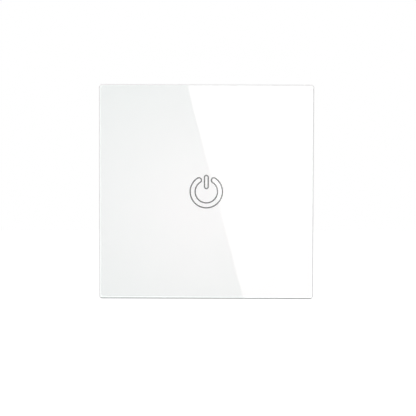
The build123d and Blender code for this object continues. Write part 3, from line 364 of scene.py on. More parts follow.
def make_rolling():
    """Rolled or drawn metal: noise drawn out along the width, with broad cloudy spots of another tone."""
    tree, given, wanted = new_group("rolling", ["Tone", "Other Tone"], {
        "Line Scale": 900.0, "Cloud Scale": 120.0, "Smooth": 0.25, "Rough": 0.45})
    stretch = tree.nodes.new("ShaderNodeVectorMath")
    stretch.operation = "MULTIPLY"
    tree.links.new(given["Vector"], stretch.inputs[0])
    stretch.inputs[1].default_value = (0.06, 1.0, 1.0)
    lines = noise_of(tree, stretch.outputs[0], given["Line Scale"], detail=3.0, rough=0.6)
    cloud = noise_of(tree, given["Vector"], given["Cloud Scale"], detail=2.0)
    two_toned(tree, given, wanted, weighted(tree, 0.45, lines, cloud), lines)
    return tree


def make_spangle():
    """Zinc crystals: each cell has its own tone and roughness, with a faint line where cells meet."""
    tree, given, wanted = new_group("zinc_spangle", ["Tone", "Other Tone"], {
        "Crystal Scale": 320.0, "Smooth": 0.28, "Rough": 0.5})
    crystal = apart(tree, cells_of(tree, given["Vector"], given["Crystal Scale"], output="Color"))[0]
    dust = noise_of(tree, given["Vector"], 1400.0, detail=3.0)
    seams = cells_of(tree, given["Vector"], given["Crystal Scale"], feature="DISTANCE_TO_EDGE")
    two_toned(tree, given, wanted, weighted(tree, 0.8, crystal, dust), seams)
    return tree


def make_tracks():
    """A board's copper under its mask: straight tracks, each cell's one of two ways, and round via pads."""
    used_cells, track_share, pad_size = 0.4, 0.42, 0.11
    tree, given, wanted = new_group("board_tracks", ["Mask Tone", "Track Tone", "Pad Tone"], {
        "Cell Scale": 220.0, "Track Scale": 1100.0, "Smooth": 0.26, "Rough": 0.4}, masks=["Pads"])
    x, _, z = apart(tree, given["Vector"])
    cell = tree.nodes.new("ShaderNodeCombineXYZ")
    for place, target in ((x, cell.inputs[0]), (z, cell.inputs[1])):
        tree.links.new(math_of(tree, "FLOOR", math_of(tree, "MULTIPLY", place, given["Cell Scale"])), target)
    chance = tree.nodes.new("ShaderNodeTexWhiteNoise")
    tree.links.new(cell.outputs[0], chance.inputs["Vector"])
    upright = math_of(tree, "GREATER_THAN", chance.outputs["Value"], 0.5)
    used = math_of(tree, "GREATER_THAN", apart(tree, chance.outputs["Color"])[1], used_cells)
    along = tree.nodes.new("ShaderNodeMix")
    for socket, target in ((upright, "Factor"), (x, 2), (z, 3)):
        tree.links.new(socket, along.inputs[target])
    wave = math_of(tree, "FRACT", math_of(tree, "MULTIPLY", along.outputs[0], given["Track Scale"]))
    track = math_of(tree, "MULTIPLY", math_of(tree, "LESS_THAN", wave, track_share), used)
    pads = math_of(tree, "LESS_THAN", cells_of(tree, given["Vector"], given["Cell Scale"]), pad_size)
    shown = blend_of(tree, track, given["Mask Tone"], given["Track Tone"])
    tree.links.new(blend_of(tree, pads, shown, given["Pad Tone"]), wanted["Colour"])
    sheen = noise_of(tree, given["Vector"], 300.0, detail=2.0)
    tree.links.new(between(tree, sheen, given["Smooth"], given["Rough"]), wanted["Roughness"])
    tree.links.new(pads, wanted["Pads"])
    tree.links.new(math_of(tree, "MAXIMUM", track, pads), wanted["Height"])
    return tree


moulding, rolling, zinc_spangle, board_tracks = make_moulding(), make_rolling(), make_spangle(), make_tracks()


# Finishes. Each is a group, the values that it gets, and a metallic share: a number, or the name of a mask.

def moulded(tone, other, smooth=0.38, rough=0.55, grain=2600.0, patch=60.0):
    """The finish of a moulded or dipped part."""
    return moulding, {"Tone": tone, "Other Tone": other, "Patch Scale": patch, "Grain Scale": grain,
                      "Smooth": smooth, "Rough": rough}, 0.0


def rolled(tone, other, smooth=0.22, rough=0.42, lines=900.0):
    """The finish of rolled or drawn metal."""
    return rolling, {"Tone": tone, "Other Tone": other, "Line Scale": lines, "Smooth": smooth, "Rough": rough}, 1.0


# Regions of a part that has more than one finish. Each is a function that adds nodes to a material's tree.

def nearer(axis, centre, half):
    """1 where a coordinate is within half of centre, in millimetres."""
    def region(tree, place):
        away = math_of(tree, "SUBTRACT", place[axis], centre * MM)
        return under(tree, math_of(tree, "ABSOLUTE", away), half)
    return region


def further(axis, centre, half):
    """1 where a coordinate is more than half from centre, in millimetres."""
    return lambda tree, place: math_of(tree, "SUBTRACT", 1.0, nearer(axis, centre, half)(tree, place))


def round_spot(axes, centre, radius):
    """1 round a point: where two distances, each squared, add up to less than the radius squared."""
    def region(tree, place):
        squares = [math_of(tree, "POWER", math_of(tree, "SUBTRACT", place[axis], middle * MM), 2.0)
                   for axis, middle in zip(axes, centre)]
        return math_of(tree, "LESS_THAN", math_of(tree, "ADD", *squares), (radius * MM) ** 2)
    return region


def both(one, other):
    """1 where two regions are."""
    return lambda tree, place: math_of(tree, "MULTIPLY", one(tree, place), other(tree, place))


# Materials

def new_material(name):
    """A new material, its tree, its main shader, and the piece's own coordinates."""
    material = bpy.data.materials.new(name)
    material.use_nodes = True
    tree = material.node_tree
    place = tree.nodes.new("ShaderNodeTexCoord").outputs["Object"]
    return material, tree, tree.nodes["Principled BSDF"], place


def layered(name, layers, bump=0.25, depth=0.00003, **shader):
    """A material of one finish, or of several: each later one covers those before it where its region is 1."""
    material, tree, principled, place = new_material(name)
    for (group, values, metallic), region in layers:
        look = tree.nodes.new("ShaderNodeGroup")
        look.node_tree = group
        tree.links.new(place, look.inputs["Vector"])
        for label, value in values.items():
            look.inputs[label].default_value = shade(value) if look.inputs[label].type == "RGBA" else value
        look = look.outputs
        metallic = look[metallic] if isinstance(metallic, str) else metallic
        if region is None:
            colour, rough, height, shine = look["Colour"], look["Roughness"], look["Height"], metallic
            continue
        mask = region(tree, apart(tree, place))
        colour = blend_of(tree, mask, colour, look["Colour"])
        rough = between(tree, mask, rough, look["Roughness"])
        height = between(tree, mask, height, look["Height"])
        if shine != metallic:
            shine = between(tree, mask, shine, metallic)
    tree.links.new(colour, principled.inputs["Base Color"])
    tree.links.new(rough, principled.inputs["Roughness"])
    feed(tree, shine, principled.inputs["Metallic"])
    if bump:
        raised = tree.nodes.new("ShaderNodeBump")
        raised.inputs["Strength"].default_value = bump
        raised.inputs["Distance"].default_value = depth
        tree.links.new(height, raised.inputs["Height"])
        tree.links.new(raised.outputs["Normal"], principled.inputs["Normal"])
    for label, value in shader.items():
        principled.inputs[label.replace("_", " ")].default_value = value
    return material


def plastic(name, tone, other, smooth=0.38, rough=0.55, bump=0.25, grain=2600.0, patch=60.0, **shader):
    """A material of one moulded finish."""
    return layered(name, [(moulded(tone, other, smooth, rough, grain, patch), None)], bump, **shader)


def metal(name, tone, other, smooth=0.22, rough=0.42, lines=900.0, bump=0.2, **shader):
    """A material of one rolled finish."""
    return layered(name, [(rolled(tone, other, smooth, rough, lines), None)], bump, **shader)


def board(name, mask, track, pad, near, far):
    """Solder mask over copper on the two faces, and the bare laminate between them on the cut edges."""
    skin = 0.06
    faces = board_tracks, {"Mask Tone": mask, "Track Tone": track, "Pad Tone": pad}, "Pads"
    edges = moulded((0.52, 0.50, 0.30), (0.42, 0.42, 0.24), smooth=0.6, rough=0.85, grain=3600.0, patch=400.0)
    laminate = nearer(DEPTH, (near + far) / 2, (far - near) / 2 - skin)
    return layered(name, [(faces, None), (edges, laminate)], bump=0.5, depth=0.00004, Coat_Weight=0.2)


def glass_finish():
    """Clear float glass: faint green in the body, greener ground side walls, and painted shade and light on the
    arris
    round the front: nearly clear at the top, grey on the left, darker grey on the right and near black along the
    bottom.

    Shadow and diffuse rays pass it as if it were open, so the print behind it gets the lamps' light.
    """
    wall_starts, wall_ends = 42.62, 42.85
    arris_depth, upper_arris, lower_arris, side_arris, shaded_from = 0.49, 42.3, -42.61, 42.64, 42.4
    clear_tone, clearer_tone, wall_tone = (0.972, 0.996, 0.984), (0.984, 1.0, 0.992), (0.66, 0.83, 0.77)
    # Painted light and shade for the front arris: nearly clear at the top, grey and darker grey on the two sides,
    # near black below
    left_arris_shade, right_arris_shade = (0.78, 0.81, 0.80), (0.62, 0.64, 0.64)
    upper_arris_light, lower_arris_shade = (0.955, 0.965, 0.96), (0.09, 0.095, 0.095)
    material, tree, principled, place = new_material("float_glass")
    x, depth, z = apart(tree, place)
    reach = math_of(tree, "MAXIMUM", math_of(tree, "ABSOLUTE", x), math_of(tree, "ABSOLUTE", z))
    at_wall = between(tree, reach, 0.0, 1.0, wall_starts * MM, wall_ends * MM)
    cloud = noise_of(tree, place, 45.0, detail=2.0)
    clear = blend_of(tree, cloud, shade(clear_tone), shade(clearer_tone))
    body = blend_of(tree, at_wall, clear, shade(wall_tone))

    # Painted shade and light on the front arris: lighter at the top, darker on the right than on the left, near
    # black along the bottom
    above = over(tree, z, upper_arris)
    rim = math_of(tree, "MAXIMUM", above, over(tree, reach, side_arris))
    rim = math_of(tree, "MAXIMUM", rim, under(tree, z, lower_arris))
    arris = math_of(tree, "MULTIPLY", under(tree, depth, GLASS_FRONT + arris_depth), rim)
    tone = blend_of(tree, over(tree, x, shaded_from), shade(left_arris_shade), shade(right_arris_shade))
    tone = blend_of(tree, above, tone, shade(upper_arris_light))
    tone = blend_of(tree, under(tree, z, -shaded_from), tone, shade(lower_arris_shade))
    tree.links.new(blend_of(tree, arris, body, tone), principled.inputs["Base Color"])

    wiped = between(tree, noise_of(tree, place, 160.0, detail=3.0), 0.02, 0.08)
    tree.links.new(math_of(tree, "MULTIPLY", at_wall, wiped), principled.inputs["Roughness"])
    principled.inputs["Transmission Weight"].default_value = 1.0
    principled.inputs["IOR"].default_value = 1.5
    seen = tree.nodes.new("ShaderNodeLightPath").outputs
    passed = tree.nodes.new("ShaderNodeBsdfTransparent")
    passed.inputs["Color"].default_value = (0.99, 1.0, 0.995, 1)
    mixed = tree.nodes.new("ShaderNodeMixShader")
    tree.links.new(math_of(tree, "MAXIMUM", seen["Is Shadow Ray"], seen["Is Diffuse Ray"]), mixed.inputs[0])
    tree.links.new(principled.outputs[0], mixed.inputs[1])
    tree.links.new(passed.outputs[0], mixed.inputs[2])
    tree.links.new(mixed.outputs[0], tree.nodes["Material Output"].inputs["Surface"])
    return material


# Print, tape and plastics
glass = glass_finish()
white_print = plastic("white_print_ink", (0.932, 0.900, 0.910), (0.922, 0.890, 0.900),
                      smooth=0.3, rough=0.45, bump=0.0, grain=1800.0, patch=25.0)
mark_ink = plastic("grey_mark_ink", 0.03, 0.022, smooth=0.4, rough=0.5, bump=0.0, grain=3000.0)
foam_tape = plastic("foam_tape", (0.83, 0.83, 0.81), (0.70, 0.70, 0.68),
                    smooth=0.7, rough=0.95, bump=0.8, grain=5200.0, patch=300.0)
white_shell = plastic("white_shell_plastic", (0.88, 0.88, 0.87), (0.84, 0.84, 0.83),
                      smooth=0.36, rough=0.56, bump=0.3)
milky = plastic("milky_plastic", (0.93, 0.93, 0.91), (0.87, 0.88, 0.86), smooth=0.2, rough=0.35, bump=0.1,
                Subsurface_Weight=0.15, Subsurface_Scale=0.0006)

# Finishes that more than one material holds
BLACK = moulded(0.03, 0.045, smooth=0.42, rough=0.6, grain=3200.0)
TIN = rolled((0.70, 0.70, 0.68), (0.58, 0.58, 0.57), smooth=0.2, rough=0.36)
SILVER = rolled((0.86, 0.85, 0.82), (0.76, 0.75, 0.72), smooth=0.18, rough=0.3)
COPPER = rolled((0.76, 0.40, 0.20), (0.64, 0.30, 0.13), smooth=0.2, rough=0.36)
GREEN_MASK = ((0.03, 0.20, 0.09), (0.06, 0.30, 0.14), (0.80, 0.64, 0.34))

black_moulding = layered("black_moulding", [(BLACK, None)], bump=0.35)
terminal_moulding = plastic("terminal_moulding", (0.10, 0.105, 0.115), (0.14, 0.145, 0.155),
                            smooth=0.4, rough=0.58, bump=0.3)
relay_shell = plastic("relay_shell_plastic", (0.035, 0.075, 0.19), (0.05, 0.10, 0.24),
                      smooth=0.18, rough=0.34, bump=0.12)
bobbin_ivory = plastic("bobbin_ivory", (0.86, 0.82, 0.70), (0.80, 0.75, 0.62), smooth=0.35, rough=0.5, bump=0.2)
ferrite_grey = plastic("ferrite_grey", (0.085, 0.085, 0.09), (0.17, 0.165, 0.165),
                       smooth=0.55, rough=0.8, bump=0.6, grain=1900.0, patch=240.0)
film_tape = plastic("yellow_film_tape", (0.86, 0.62, 0.07), (0.80, 0.52, 0.05),
                    smooth=0.16, rough=0.32, bump=0.2, grain=900.0)
ochre_box = plastic("ochre_box", (0.82, 0.56, 0.08), (0.74, 0.47, 0.06), smooth=0.22, rough=0.4, bump=0.15)

# Metals
galvanised = layered("galvanised_sheet", [((zinc_spangle, {
    "Tone": (0.62, 0.63, 0.64), "Other Tone": (0.49, 0.50, 0.515), "Crystal Scale": 520.0,
    "Smooth": 0.38, "Rough": 0.58}, 1.0), None)], bump=0.15, depth=0.00001)
zinc_screw = metal("zinc_screw_steel", (0.62, 0.62, 0.61), (0.50, 0.50, 0.49))
tinned_sheet = metal("tinned_sheet", (0.68, 0.68, 0.66), (0.58, 0.58, 0.56), smooth=0.26, rough=0.4)
plated_wire = metal("plated_spring_wire", (0.80, 0.76, 0.62), (0.70, 0.64, 0.48), smooth=0.2, rough=0.34)
brass = metal("turned_brass", (0.84, 0.64, 0.30), (0.74, 0.52, 0.20), smooth=0.2, rough=0.38)
copper = layered("copper_strip", [(COPPER, None)], bump=0.2)
enamelled = metal("enamelled_copper", (0.72, 0.33, 0.15), (0.58, 0.22, 0.09), smooth=0.18, rough=0.34,
                  Coat_Weight=0.4)
soft_iron = metal("plated_soft_iron", (0.66, 0.65, 0.62), (0.54, 0.53, 0.50), smooth=0.24, rough=0.4)
solder = metal("solder", (0.74, 0.74, 0.74), (0.62, 0.62, 0.63), smooth=0.15, rough=0.32)
gold_pad = metal("gold_pad", (0.90, 0.70, 0.32), (0.82, 0.60, 0.24), smooth=0.2, rough=0.36)

# Boards and their small parts
chip_ceramic = plastic("chip_ceramic", (0.52, 0.42, 0.30), (0.44, 0.35, 0.25),
                       smooth=0.4, rough=0.6, bump=0.2, grain=4200.0)
white_board = board("white_mask_board", (0.86, 0.87, 0.86), (0.76, 0.79, 0.76), (0.86, 0.70, 0.38),
                    TOUCH_FRONT, TOUCH_BACK)
green_board = board("green_mask_board", *GREEN_MASK, POWER_FRONT, POWER_BACK)
radio_green = board("radio_mask_board", *GREEN_MASK, RADIO_FRONT, TOUCH_FRONT)

# Parts of one node with two or three finishes: metal legs, pins, caps and contacts, a bare can top with its
# cross and a stripe down the can's side, and a lamp's phosphor
chip_body = layered("touch_chip_finish", [(BLACK, None), (TIN, further(Z, centre=-14.5, half=1.96))])
bridge_body = layered("bridge_finish", [(BLACK, None), (TIN, further(Z, centre=-8.2, half=2.51))])
pin_header = layered("pin_header_finish", [
    (BLACK, None), (rolled((0.90, 0.70, 0.32), (0.82, 0.60, 0.24)), further(DEPTH, centre=5.35, half=1.26))])
coated_disc = layered("varistor_finish", [
    (TIN, None), (moulded((0.06, 0.17, 0.50), (0.09, 0.22, 0.56), smooth=0.3, rough=0.5, grain=700.0),
                  round_spot((X, DEPTH), centre=(VARISTOR_X, 13.9), radius=3.93))])
capped_tube = layered("fuse_finish", [
    (moulded((0.30, 0.38, 0.27), (0.36, 0.44, 0.32), smooth=0.2, rough=0.38), None),
    (TIN, further(X, centre=FUSE_X, half=2.54))])
can_top = both(nearer(DEPTH, centre=20.3, half=0.03), round_spot((X, Z), centre=CAN, radius=3.4))
can_stripe = both(nearer(Z, centre=CAN[1], half=1.1), nearer(X, centre=8.2, half=4.0))
cross_up = both(nearer(X, centre=CAN[0], half=0.16), nearer(Z, centre=CAN[1], half=2.5))
cross_along = both(nearer(Z, centre=CAN[1], half=0.16), nearer(X, centre=CAN[0], half=2.5))
sleeved_can = layered("can_finish", [
    (moulded((0.03, 0.04, 0.065), (0.05, 0.06, 0.09), smooth=0.2, rough=0.36), None),
    (moulded((0.62, 0.63, 0.62), (0.56, 0.57, 0.56), smooth=0.2, rough=0.36), can_stripe),
    (SILVER, can_top), (TIN, both(can_top, cross_up)), (TIN, both(can_top, cross_along))], bump=0.15)
lamp_body = layered("lamp_finish", [
    (moulded((0.88, 0.87, 0.82), (0.82, 0.81, 0.76)), None),
    (moulded((0.90, 0.84, 0.45), (0.80, 0.70, 0.28), smooth=0.12, rough=0.26, grain=4000.0),
     nearer(DEPTH, centre=-3.8, half=0.4))])
fixed_contact = layered("fixed_contact_finish", [(COPPER, None), (SILVER, nearer(DEPTH, centre=20.4, half=0.49))])
moving_contact = layered("moving_contact_finish", [
    (COPPER, None), (SILVER, round_spot((X, Z), centre=RELAY_CONTACT, radius=1.3))])

NODE_FINISH = {
    "glass_panel": glass, "panel_tape": foam_tape, "panel_frame": white_shell, "panel_snap_hooks": white_shell,
    "mounting_plate": galvanised, "base_tray": white_shell, "rear_housing": white_shell,
    "housing_screws": zinc_screw, "touch_board": white_board, "touch_board_screws": zinc_screw,
    "power_board": green_board, "board_socket": black_moulding, "board_pins": pin_header,
    "light_shield": white_shell, "light_diffuser": milky, "status_leds": lamp_body, "radio_board": radio_green,
    "radio_can": tinned_sheet, "touch_chip": chip_body, "terminal_block": terminal_moulding,
    "current_bars": copper, "relay_base": black_moulding, "relay_cover": relay_shell,
    "relay_bobbin": bobbin_ivory, "relay_core": soft_iron, "relay_yoke": soft_iron,
    "relay_armature": soft_iron, "relay_contact_blade": moving_contact, "relay_fixed_contact": fixed_contact,
    "transformer_core": ferrite_grey, "can_capacitor": sleeved_can, "box_capacitor": ochre_box,
    "varistor": coated_disc, "fuse": capped_tube, "bridge_rectifier": bridge_body,
    "back_print": white_print, "electrode_spring": plated_wire, "relay_winding": enamelled,
    "transformer_winding": film_tape,
    **{f"terminal_cage_{n}": brass for n in (1, 2, 3)}, **{f"terminal_screw_{n}": zinc_screw for n in (1, 2, 3)},
}
for node_name, finish in NODE_FINISH.items():
    cad_nodes[node_name].data.materials.clear()
    cad_nodes[node_name].data.materials.append(finish)


# The print on the back of the glass, and the touch mark

def print_layer():
    """A thin rounded sheet whose front lies a hair inside the glass, so that no two faces share a plane."""
    side, corner, edge = 84.8, 0.98, 0.01
    rings = soft_block(0, 0, side, side, corner, GLASS_BACK - 0.02, PRINT_BACK, edge, steps=10)
    closed_piece("print_layer", rings, white_print, "panel", ["back_print"])


def touch_mark():
    """Two thin grey outlines: a ring broken at the top, and an upright bar in its gap."""
    line, near, far = 0.5, GLASS_BACK - 0.045, GLASS_BACK - 0.012
    ring = arc_band(radius=5.5, half_width=1.0, gap=math.radians(33))
    bar = capsule(x=0, low=2.0, high=5.8, half_width=0.75)
    for name, outline in (("mark_ring", ring), ("mark_bar", bar)):
        closed_piece(name, line_rings(outline, line, near, far), mark_ink, "panel", joined=True, smooth=False)


# Coils

def electrode_coil():
    """The touch spring: a helix whose end turns are pressed flat.

    Its rise is a sum of an even one and an S-curve, three times its square less twice its cube.
    """
    turns, radius, wire, steps, end_share, s_share = 3, 5.5, 0.25, 72, 0.15, 0.35
    low, high = TOUCH_FRONT - wire, PRINT_BACK + wire
    along = np.linspace(0, 1, turns * steps + 1)
    rise = np.clip(along * (1 + 2 * end_share) - end_share, 0, 1)
    rise = rise * rise * (3 - 2 * rise) * s_share + rise * (1 - s_share)
    around = circle_points(radius, along * turns * FULL_TURN)
    path = np.stack([around[:, 0], low + (high - low) * rise, around[:, 1]], axis=1)
    closed_piece("electrode_coil", wire_rings(path, wire, sides=12), plated_wire, "base",
                 ["electrode_spring"])


def relay_coil():
    """The relay's winding: wire ridges along its length, each a half wave proud of the winding's radius."""
    inner, outer, ridge, pitch, steps = 2.72, 4.6, 0.1, 0.26, 6
    low, high = cad_span("relay_winding")
    depth = np.linspace(low, high, int((high - low) / pitch) * steps + 1)
    wave = np.abs(np.sin((depth - low) / pitch * math.pi)) * ridge
    profile = np.concatenate([[[inner, low]], np.stack([outer + wave, depth], axis=1), [[inner, high]]])
    closed_piece("relay_coil", turned(*RELAY_CORE, profile, steps=40), enamelled, "base",
                 ["relay_winding"], joined=True)


def transformer_coil():
    """Taped winding round an upright axis: full in the middle, less by a fourth power to its ends.

    Every other turn of the tape stands a step lower.
    """
    width, half, least, falls, tape, tape_width = 7.8, 3.05, 0.25, 0.3, 0.03, 1.22
    x, z = TRANSFORMER
    low, high = cad_span("transformer_winding")
    place = np.linspace(-half, half, 43)
    inset = least + falls * (place / half) ** 4 + tape * (np.floor((place + half) / tape_width) % 2)
    layers = [(z + at, width - 2 * less, high - low - 2 * less) for at, less in zip(place, inset)]
    rings = flat_rings(x, (low + high) / 2, layers, radius=1.3)
    closed_piece("transformer_coil", rings, film_tape, "base", ["transformer_winding"])


def transformer_flanges():
    """The two flanges of the winding's bobbin: thin rounded plates, a little smaller at their two faces."""
    width, thick, edge = 7.8, 0.6, 0.12
    x, z = TRANSFORMER
    low, high = cad_span("transformer_winding")
    for name, start in (("transformer_flange_1", -3.6), ("transformer_flange_2", 3.0)):
        layers = [(z + start + at, width - 2 * less, high - low - 2 * less)
                  for at, less in ((0, edge), (edge, 0), (thick - edge, 0), (thick, edge))]
        rings = flat_rings(x, (low + high) / 2, layers, radius=0.6, steps=5)
        closed_piece(name, rings, black_moulding, "base", smooth=False)


# Small parts on the boards, their places as x and z in millimetres

CHIPS_LYING = [(-13.2, 7.2), (-13.2, 4.4), (-13.0, -4.2), (-13.0, -6.6), (13.2, 7.2), (13.2, 4.4), (13.0, -4.2),
               (13.0, -6.6), (-10.4, -14.0), (-10.4, -16.2), (-10.4, -18.4), (10.4, -14.0), (10.4, -16.2),
               (10.4, -18.4), (-11.6, 12.0), (-11.6, 14.4), (-11.6, 16.8), (11.6, 12.0), (11.6, 14.4),
               (-15.4, -10.6), (15.4, -10.6)]
CHIPS_UPRIGHT = [(-8.2, -11.0), (8.2, -11.0), (-2.6, -19.4), (0.0, -19.4), (2.6, -19.4), (-14.6, -14.6),
                 (14.6, -14.6)]
TERMINAL_LEADS = [(x, -11.8) for x in (-8, 0, 8)]
CAN_LEADS = [(CAN[0] + side, CAN[1]) for side in (-2, 2)]
BOX_CAPACITOR_LEADS = [(-5.4, 18.1), (3.4, 18.1)]
VARISTOR_LEADS = [(VARISTOR_X + side, -8.35) for side in (-1.9, 1.9)]
FUSE_LEADS = [(FUSE_X + side, -8.6) for side in (-4.6, 4.6)]


def chip_parts():
    """Chip resistors and capacitors: a bevelled body between two metal ends, repeated on the touch board."""
    body, cap, cap_shift = (1.12, 0.8), (0.36, 0.84), (0.62, 0, 0)
    body_height, cap_height, corner, body_edge, cap_edge = 0.45, 0.49, 0.05, 0.04, 0.05
    for name, places, way in (("chips_lying", CHIPS_LYING, 1), ("chips_upright", CHIPS_UPRIGHT, -1)):
        shifts = np.array([(x, 0, z) for x, z in places])
        along = np.array(cap_shift[::way])
        block = soft_block(0, 0, *body[::way], corner, TOUCH_FRONT - body_height, TOUCH_FRONT, body_edge, steps=2)
        closed_piece(name, block, chip_ceramic, "base", smooth=False, copies=shifts)
        block = soft_block(0, 0, *cap[::way], corner, TOUCH_FRONT - cap_height, TOUCH_FRONT, cap_edge, steps=2)
        closed_piece(name + "_ends", block, solder, "base", smooth=False,
                     copies=np.concatenate([shifts + along, shifts - along]))


def crystal_can():
    """A low crystal in a pressed can with round ends, beside the electrode."""
    x, z, length, width, corner, height, edge = -11.6, 0.0, 4.4, 1.9, 0.94, 1.2, 0.18
    rings = soft_block(x, z, length, width, corner, TOUCH_FRONT - height, TOUCH_FRONT, edge, steps=8)
    closed_piece("crystal_can", rings, tinned_sheet, "base")


def electrode_pad():
    """The flat gold ring on the board that the spring stands on."""
    inner, outer = 4.9, 6.2
    near, far = TOUCH_FRONT - 0.04, TOUCH_FRONT - 0.002
    profile = [(inner, far), (inner, near), (outer, near), (outer, far)]
    closed_piece("electrode_pad", turned(0, 0, profile, steps=72), gold_pad, "base", joined=True, smooth=False)


def antenna_trace():
    """The radio board's aerial, a flat strip in square turns.

    At a bend its two edges meet on the line that halves the angle: the two sides' sum over one plus their product.
    """
    first, pitch, low, high, half_width = -5.6, 1.5, 18.5, 20.5, 0.2
    across = np.repeat(first + pitch * np.arange(8), 2)
    path = np.stack([across, np.tile([low, high, high, low], 4)], axis=1)
    side = quarter_turned(unit(np.diff(path, axis=0)))
    before, after = np.concatenate([side[:1], side]), np.concatenate([side, side[-1:]])
    halved = (before + after) / (1 + np.sum(before * after, axis=1))[:, None] * half_width
    rings = strip_rings(path + halved, path - halved, RADIO_FRONT - 0.035, RADIO_FRONT - 0.002)
    closed_piece("antenna_trace", rings, gold_pad, "base", smooth=False)


def solder_joints():
    """A cone with a hollow side round each lead on the power board's front.

    Its radius is the lead's, plus the foot's times a power of the height that is left.
    """
    lead, foot, height, hollow = 0.45, 0.65, 0.75, 2.2
    share = np.linspace(0, 1, 6)
    profile = np.stack([lead + foot * (1 - share) ** hollow, POWER_FRONT - height * share], axis=1)
    places = [(RELAY[0] + a, RELAY[1] + b) for a in (-5.6, 5.6) for b in (-7.6, 7.6)]
    places += TERMINAL_LEADS + CAN_LEADS + BOX_CAPACITOR_LEADS
    places += [(TRANSFORMER[0] + a, TRANSFORMER[1] + b) for b in (-7.8, 7.8) for a in (-3, 3)]
    places += VARISTOR_LEADS + FUSE_LEADS
    closed_piece("solder_joints", turned(0, 0, profile, steps=14), solder, "base",
                 copies=[(x, 0, z) for x, z in places])


print_layer()
touch_mark()
electrode_coil()
relay_coil()
transformer_coil()
transformer_flanges()
chip_parts()
crystal_can()
electrode_pad()
antenna_trace()
solder_joints()


# Studio in metres: white floor and air, soft lamps, and two cards whose reflection is the slanting sheen

WHITE = (1, 1, 1, 1)
AIR_LIGHT, AIR_SEEN = 0.66, 1.0
FLOOR_SIDE, FLOOR_HEIGHT, FLOOR_GLOW = 4.0, -0.30, 0.5
LAMP_SIZE = 0.9
LAMPS = (("key_lamp", (-0.75, -0.95, 0.85), 7.0), ("back_lamp", (0.8, 1.1, 0.7), 5.5))
CARD_DEPTH = -0.7105
BRIGHT_CARD, SOFT_CARD = 5.4, 3.5

# The camera looks a little down at the plate and is rolled a little, as the photograph's is
CAMERA_AIM = (0.00058, -0.00642)
CAMERA_REACH = 0.627
CAMERA_RISE = math.radians(3.2)
CAMERA_ROLL = -0.0033
CAMERA_LENS, CAMERA_SENSOR = 135.37, 36.0
CAMERA = (CAMERA_AIM[0], GLASS_FRONT * MM - CAMERA_REACH * math.cos(CAMERA_RISE),
          CAMERA_AIM[1] + CAMERA_REACH * math.sin(CAMERA_RISE))


def seen_white(tree):
    """1 for a ray from the camera, straight or by way of gloss or glass, and 0 for light that the object gets."""
    seen = tree.nodes.new("ShaderNodeLightPath").outputs
    either = math_of(tree, "MAXIMUM", seen["Is Camera Ray"], seen["Is Glossy Ray"])
    return math_of(tree, "MAXIMUM", either, seen["Is Transmission Ray"])


def white_air():
    """A white world that gives the object less light than the camera sees in it."""
    world = bpy.data.worlds.new("white_air")
    bpy.context.scene.world = world
    world.use_nodes = True
    tree = world.node_tree
    background = tree.nodes["Background"]
    background.inputs["Color"].default_value = WHITE
    tree.links.new(between(tree, seen_white(tree), AIR_LIGHT, AIR_SEEN), background.inputs["Strength"])


def white_floor():
    """A matt floor with a glow that only the camera sees."""
    finish, tree, principled, place = new_material("white_floor")
    cloud = noise_of(tree, place, 3.0, detail=2.0)
    tree.links.new(blend_of(tree, cloud, shade(0.80), shade(0.82)), principled.inputs["Base Color"])
    principled.inputs["Roughness"].default_value = 0.9
    principled.inputs["Specular IOR Level"].default_value = 0.1
    principled.inputs["Emission Color"].default_value = WHITE
    glow = math_of(tree, "MULTIPLY", seen_white(tree), FLOOR_GLOW)
    tree.links.new(glow, principled.inputs["Emission Strength"])
    corners = [(x * FLOOR_SIDE, y * FLOOR_SIDE, FLOOR_HEIGHT) for x, y in ((-1, -1), (1, -1), (1, 1), (-1, 1))]
    floor = mesh_object("studio_floor", corners, [[0, 1, 2, 3]], finish)


def lamps():
    """Square lamps that face the object's middle."""
    for name, place, power in LAMPS:
        lamp = bpy.data.lights.new(name, "AREA")
        lamp.size = LAMP_SIZE
        lamp.energy = power
        holder = bpy.data.objects.new(name, lamp)
        holder.location = place
        away = np.array(place) / np.linalg.norm(place)
        holder.rotation_euler = (math.acos(away[2]), 0, math.atan2(away[0], -away[1]))
        holder.visible_camera = False
        bpy.context.scene.collection.objects.link(holder)


def mirrored(x, z):
    """A point of the glass front, in millimetres, carried to the cards.

    A line from the camera to that point is thrown back and meets the cards' plane there.
    """
    front = GLASS_FRONT * MM
    reach = (front - CARD_DEPTH) / (front - CAMERA[1])
    return x * MM + (x * MM - CAMERA[0]) * reach, z * MM + (z * MM - CAMERA[2]) * reach


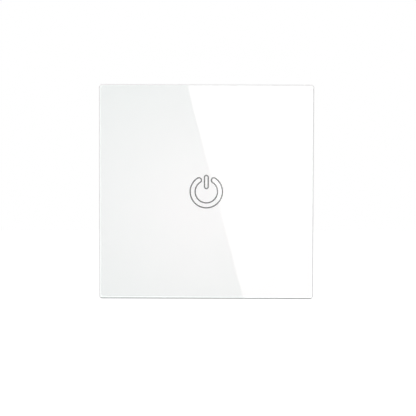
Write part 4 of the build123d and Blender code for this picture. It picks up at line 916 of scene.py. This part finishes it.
def card_light(name, strength, fade=None):
    """A card's light.

    fade is its centre as x and z, how far from it the fading starts and ends, and the colour past its end.
    """
    material, tree, principled, place = new_material(name)
    tree.nodes.remove(principled)
    light = tree.nodes.new("ShaderNodeEmission")
    light.inputs["Color"].default_value = WHITE
    light.inputs["Strength"].default_value = strength
    if fade:
        (across, up), start, stop, outer = fade
        away = tree.nodes.new("ShaderNodeVectorMath")
        away.operation = "DISTANCE"
        tree.links.new(place, away.inputs[0])
        away.inputs[1].default_value = (across, CARD_DEPTH, up)
        spread = between(tree, away.outputs["Value"], 0.0, 1.0, start, stop)
        tree.links.new(blend_of(tree, spread, WHITE, shade(outer)), light.inputs["Color"])
    tree.links.new(light.outputs[0], tree.nodes["Material Output"].inputs["Surface"])
    return material


def card(name, corners, light):
    """A flat card in front of the plate that shows only in reflections."""
    points = [(x, CARD_DEPTH, z) for x, z in corners]
    sheet = mesh_object(name, points, [list(range(len(points)))], light)
    sheet.visible_camera = sheet.visible_diffuse = sheet.visible_transmission = sheet.visible_shadow = False


def sheen_cards():
    """The bright card right of the sheen's slanting edge and the soft, fading one left of it."""
    top, foot = (-7.64, 42.4), (15.1, -42.8)
    wide, low, high = 60, -48, 78
    slope = (foot[0] - top[0]) / (foot[1] - top[1])
    upper = mirrored(top[0] + slope * (high - top[1]), high)
    lower = mirrored(foot[0] + slope * (low - foot[1]), low)
    bright = [lower, mirrored(wide, low), mirrored(wide, high), upper]
    soft = [mirrored(-wide, low), lower, upper, mirrored(-wide, high)]
    fade = (mirrored(0, -6), 0.020, 0.128, (0.34, 0.55, 0.50))
    card("bright_card", bright, card_light("bright_card_light", BRIGHT_CARD))
    card("soft_card", soft, card_light("soft_card_light", SOFT_CARD, fade))


def front_camera():
    """The camera at the photograph's viewing angle."""
    camera = bpy.data.cameras.new("front_camera")
    camera.lens = CAMERA_LENS
    camera.sensor_width = CAMERA_SENSOR
    camera.clip_start, camera.clip_end = 0.01, 20.0
    holder = bpy.data.objects.new("front_camera", camera)
    holder.location = CAMERA
    holder.rotation_euler = (QUARTER_TURN - CAMERA_RISE, CAMERA_ROLL, 0)
    bpy.context.scene.collection.objects.link(holder)
    bpy.context.scene.camera = holder


white_air()
white_floor()
lamps()
sheen_cards()
front_camera()
bpy.context.scene.view_settings.view_transform = "Standard"

bpy.context.view_layer.update()
